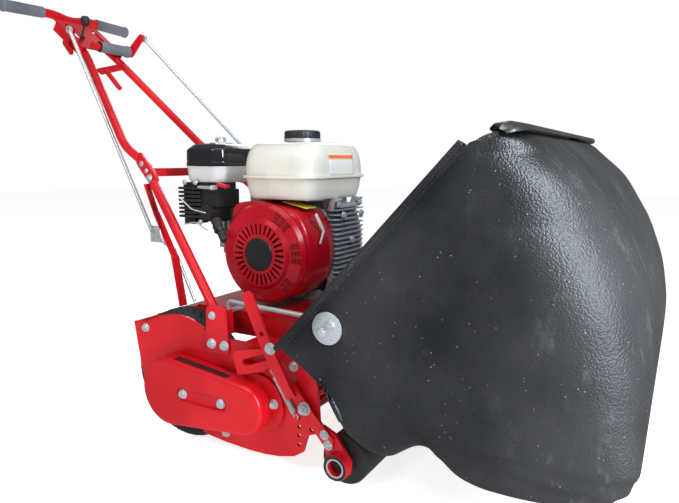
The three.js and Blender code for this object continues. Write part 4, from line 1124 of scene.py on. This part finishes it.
def tankShape():
    edge = [
        (457.4, 0), (457.4, 0.6), (457.7, 0.84), (459.5, 0.87), (466, 0.895), (480, 0.925), (496.2, 0.95),
        (497, 0.957), (497.4, 0.995), (498.2, 1.0), (501.6, 1.0), (502.4, 0.995), (502.8, 0.962),
        (504, 0.955)
    ]
    top = [
        (512, 0.953), (524, 0.948), (536, 0.93), (546, 0.905), (553, 0.87), (558, 0.83), (562, 0.77),
        (564.6, 0.68), (565.8, 0.56), (566, 0.4), (566, 0.2), (566, 0)
    ]
    p = pillow(*engine["tankCentre"], *engine["tankHalf"], engine["tankPower"], edge + top)
    away = np.hypot(p[..., 0] - 150, p[..., 1] + 62)
    sink = np.clip((50 - away) / 9, 0, 1)
    p[..., 2] -= np.where(p[..., 2] > 550, 2.6 * sink**2 * (3 - 2 * sink), 0)
    return gridShape(p)


putPiece("fuelTank", tankShape(), "frame", "cream", "tank_cream", ["fuel_tank"], crease=50)


# A label on the tank's front end: the tank's superellipse with x worked out from y, half a millimetre proud.
def tankLabel():
    (cx, cy), (hx, hy), power = engine["tankCentre"], engine["tankHalf"], engine["tankPower"]
    y, z = np.linspace(-92, 0, 24), np.linspace(496, 544, 14)
    share = np.interp(z, [484, 496, 504, 524, 536, 546], [0.925, 0.95, 0.955, 0.948, 0.93, 0.905])[:, None]
    share = np.where(z[:, None] < 506, 0.957, share)
    x = cx + hx * share * (1 - np.abs((y - cy) / (hy * share)) ** power) ** (1 / power) + 0.5
    return gridShape(
        np.stack([x, np.broadcast_to(y, x.shape), np.broadcast_to(z[:, None], x.shape)], -1)[2:],
        wrapColumns=False
    )


paints["tankLabel"] = bandedLabel(
    "tankLabel", 2,
    [
        (0.0, (0.80, 0.78, 0.72)), (0.533, (0.80, 0.78, 0.72)), (0.534, (0.85, 0.17, 0.03)),
        (0.541, (0.85, 0.17, 0.03)), (0.5415, (0.80, 0.78, 0.72))
    ]
)
putPiece("tankLabel", tankLabel(), "frame", "tankLabel", wall=0.3)
capRows = [
    (35.4, 571.5), (34.4, 572), (34.6, 573), (35, 574), (34.6, 584), (33.4, 586.6), (31, 588), (24, 588.6),
    (22, 588), (0, 588)
]
capWave = lambda t: 0.5 * np.abs(np.sin(t * 18))
putPiece(
    "fuelCap", spin(capRows, (150, -62, 0), (0, 0, 1), 144, capWave), "fuel_cap", "black", "black_plastic",
    ["fuel_cap"]
)
putPiece(
    "fuelCapBand",
    spin(
        [(0, 566.4), (34.6, 566.4), (35.8, 567), (35.8, 572), (35, 572.6), (0, 572.6)], (150, -62, 0),
        (0, 0, 1), 72
    ),
    "fuel_cap", "zinc"
)

cleaner = {"centre": (-57, -62), "half": (54, 67)}


# Air cleaner: an eight-cornered outline, softened, stacked in z by inset rows.
def cleanerStack(rows):
    hx, hy = cleaner["half"]
    cut = 17
    corners = [
        (-hx + cut, -hy), (hx - cut, -hy), (hx, -hy + cut), (hx, hy - cut), (hx - cut, hy), (-hx + cut, hy),
        (-hx, hy - cut), (-hx, -hy + cut)
    ]
    outline = soften(corners, 9, 6)
    p = [
        np.hstack(
            [
                cleaner["centre"] + outline * (1 - inset / np.array(cleaner["half"])),
                np.full((len(outline), 1), float(z))
            ]
        ) for z,
        inset in rows
    ]
    return gridShape(np.array(p), capStart=True, capEnd=True)


coverRows = [
    (519.2, 1.6), (519.4, 0.4), (520, 0), (527, 0), (528, 0.8), (529, 1.6), (530, 0.9), (531, 0.6),
    (551, 1.2), (553.5, 2.2), (555.2, 4), (561, 11), (563.2, 14), (564.6, 18), (565.4, 26), (565.8, 40)
]
putPiece(
    "airCleanerCover", cleanerStack(coverRows), "air_cleaner_cover", "glossBlack", "black_gloss",
    ["air_cleaner_cover"], crease=40
)
baseRows = [(486, 9), (486.5, 7.5), (488, 6), (494, 3.4), (512, 1.6), (515, 1.4), (516, 0.3), (518.6, 0.3)]
putPiece(
    "airCleanerBase", cleanerStack(baseRows), "frame", "lightGrey", "grey_plastic", ["air_cleaner_base"],
    crease=40
)
wingNut = together(
    spin(
        [
            (0, 565.6), (24, 565.6), (24.6, 566.4), (24, 567.8), (20, 568.4), (9, 568.4), (8, 569.6),
            (6.4, 576), (5.2, 577), (3.2, 577), (3, 580), (0, 580)
        ],
        (-57, -62, 0), (0, 0, 1), 48
    ),
    softBlock((-73, -64, 570), (-61, -60, 579.6), 0.6, 14),
    softBlock((-53, -64, 570), (-41, -60, 579.6), 0.6, 14),
)
putPiece("wingNut", wingNut, "air_cleaner_cover", "zinc")

starter = together(
    spin(
        [
            (0, -3), (7, -3), (9.4, -1.5), (10.4, 2), (9.0, 8), (10.6, 14), (9.0, 20), (10.2, 25), (8, 28),
            (0, 29)
        ],
        (10, -161, 413), (17, -10, -20), 40
    ),
    spin([(6.4, 0), (7.4, 4), (7.2, 28), (5.4, 33), (0, 34)], (24, -168, 397), (26, -15, -21), 32),
)
putPiece("starterHandle", starter, "starter_grip", "black", "black_plastic", ["starter_grip"])


# Cooling fins round the cylinder on the side away from the fan, and the brackets that hold the tank.
def engineFins():
    outline = soften([(150, -56), (226, -56), (226, 60), (150, 60)], 14, 5)
    return together(*[plate(outline, z, z + 2.6, 0.6, "xy") for z in np.arange(300, 438, 9.5)])


putPiece("engineFins", engineFins(), "frame", "casting", "cast_aluminium")
tankBrackets = together(
    plate(
        soften([(206, 436), (214, 458), (232, 458), (232, 452), (222, 450), (216, 432)], 2, 4), -62, -48,
        0.6
    ),
    plate(
        soften([(206, 436), (214, 458), (232, 458), (232, 452), (222, 450), (216, 432)], 2, 4), 22, 36, 0.6
    ),
    softBlock((200, -50, 438), (224, 44, 446), 0.2, 12),
    copies(boltShape(4.6, 3.4, 6.6, 1.0), [(228, -55, 446), (228, 29, 446)], (1, 0, 0)),
    copies(
        boltShape(5.0, 4.4, 7.4, 1.2),
        [(226.4, y, z) for y, z in ((-34, 306), (38, 306), (-34, 424), (38, 424), (0, 372))], (1, 0, 0)
    ),
)
putPiece("tankBrackets", tankBrackets, "frame", "zinc", "zinc")
fanBolts = copies(
    boltShape(4.6, 3.6, 6.8, 1.0),
    [(203, -150.5, 393), (60, -150.5, 300), (186, -150.5, 306), (58, -150.5, 420)], (0, -1, 0)
)
putPiece("fanCoverBolts", fanBolts, "frame", "zinc", "zinc")
paints["paper"] = mouldedSkin("paperLabel", (0.72, 0.71, 0.68), 0.5, 300, 0.00002, spread=0.04)
paints["yellow"] = mouldedSkin("yellowTag", (0.78, 0.60, 0.05), 0.45, 300, 0.00002, spread=0.06)
putPiece(
    "fanCoverLabel", plate(soften([(44, 336), (55, 332), (55, 418), (44, 418)], 3, 4), -151.0, -150.2, 0.2),
    "frame", "paper"
)
putPiece(
    "yellowTag",
    plate(soften([(146, 452.2), (200, 441), (200, 443), (146, 454.2)], 0.6, 3), -126, -92, 0.3), "frame",
    "yellow"
)
whiteTag = leanPlate(
    soften([(0, 0), (46, 4), (58, -22), (54, -26), (42, -4), (0, -8)], 3, 4), (223.5, -128, 436),
    (0, 0.55, -0.83), (0, 0.83, 0.55), -0.5, 0.5, 0.2
)
putPiece("whiteTag", whiteTag, "frame", "paper")
carbRibs = together(
    *[softBlock((-122, -129, z), (-62, -118, z + 5.2), 0.18, 10) for z in np.arange(412, 474, 8.4)]
)
putPiece("carburettorRibs", carbRibs, "frame", "black")
carbLinks = together(
    roundBar([(-112, -132, 452), (-80, -134, 430), (-44, -132, 424)], 1.6, 8, 12),
    roundBar([(-104, -131, 398), (-70, -134, 404), (-40, -132, 388)], 1.4, 8, 12),
    copies(
        boltShape(4.0, 3.2, 5.6, 0.8), [(-100, -130, 486), (-70, -130, 486), (-60, -130, 404)], (0, -1, 0)
    ),
)
putPiece("carburettorLinks", carbLinks, "frame", "zinc", "zinc")
print("engine made")

# Bolts on the frame

out = (0, -1, 0)
frameBolts = together(
    copies(boltShape(6.2, 4.6, 9.5, 1.8), [(87.7, -269.3, 204), (117, -269.3, 204)], out),
    copies(boltShape(5.2, 3.6, 7.6, 1.4), [(90, -269.3, 256)], out),
    copies(boltShape(5.8, 4.6, 8.6, 1.6), [(-85, -265, 208), (112, -265, 38), (263, -265, 190)], out),
    copies(boltShape(6.0, 5.0, 8.8, 1.6, 4), [(225, -271, 118)], out),
)
putPiece("frameBolts", frameBolts, "frame", "zinc", "zinc")
putPiece("frameBoltsLeft", mirrored(frameBolts), "frame", "zinc", "zinc")
leverBolts = together(
    copies(boltShape(7.0, 4.6, 10.4, 1.8), [(235, -292, 224)], out),
    copies(boltShape(8.2, 6.0, 11.5, 1.6, 6), [(292, -278, 127)], out),
    copies(boltShape(5.6, 4.0, 8.4, 1.2, dome=True), [(330, -278, 90), (337, -278, 74)], out),
)
bothSides("leverBolts", leverBolts, ("height_levers", "height_levers"), "zinc", "zinc")

# Every other CAD node keeps its shape

bodyOf = {n: b for b, ns in frame["record"]["behaviour"]["bodies"].items() for n in ns}
slotOf = {s["node"]: s["material_slot"] for s in frame["record"]["subparts"]}
paintOf = {
    "frame_red": "red",
    "engine_red": "darkRed",
    "tank_cream": "cream",
    "zinc": "zinc",
    "blade_steel": "steel",
    "cast_aluminium": "casting",
    "black_plastic": "black",
    "black_gloss": "glossBlack",
    "grey_plastic": "lightGrey",
    "red_plastic": "redPlastic",
    "muffler_steel": "muffler",
    "wheel_paint": "hub",
    "tyre": "rubber",
    "grip_rubber": "grip",
    "belt_rubber": "rubber",
    "roller_black": "roller",
    "catcher_plastic": "catcher",
}
flatNodes = {
    "side_plate_left", "engine_deck", "rear_cover", "handle_bracket_right", "handle_bracket_left",
    "cross_brace", "console", "handle_stay", "drive_belt", "drive_chain",
}
for node, shown in sorted(frame["nodes"].items()):
    if shown.hide_render:
        continue
    paint = "knife" if node == "bed_knife" else paintOf[slotOf[node]]
    if node in flatNodes:
        dress(node, paint)
    else:
        refine(node, paint, bodyOf[node])
print("CAD nodes dressed")
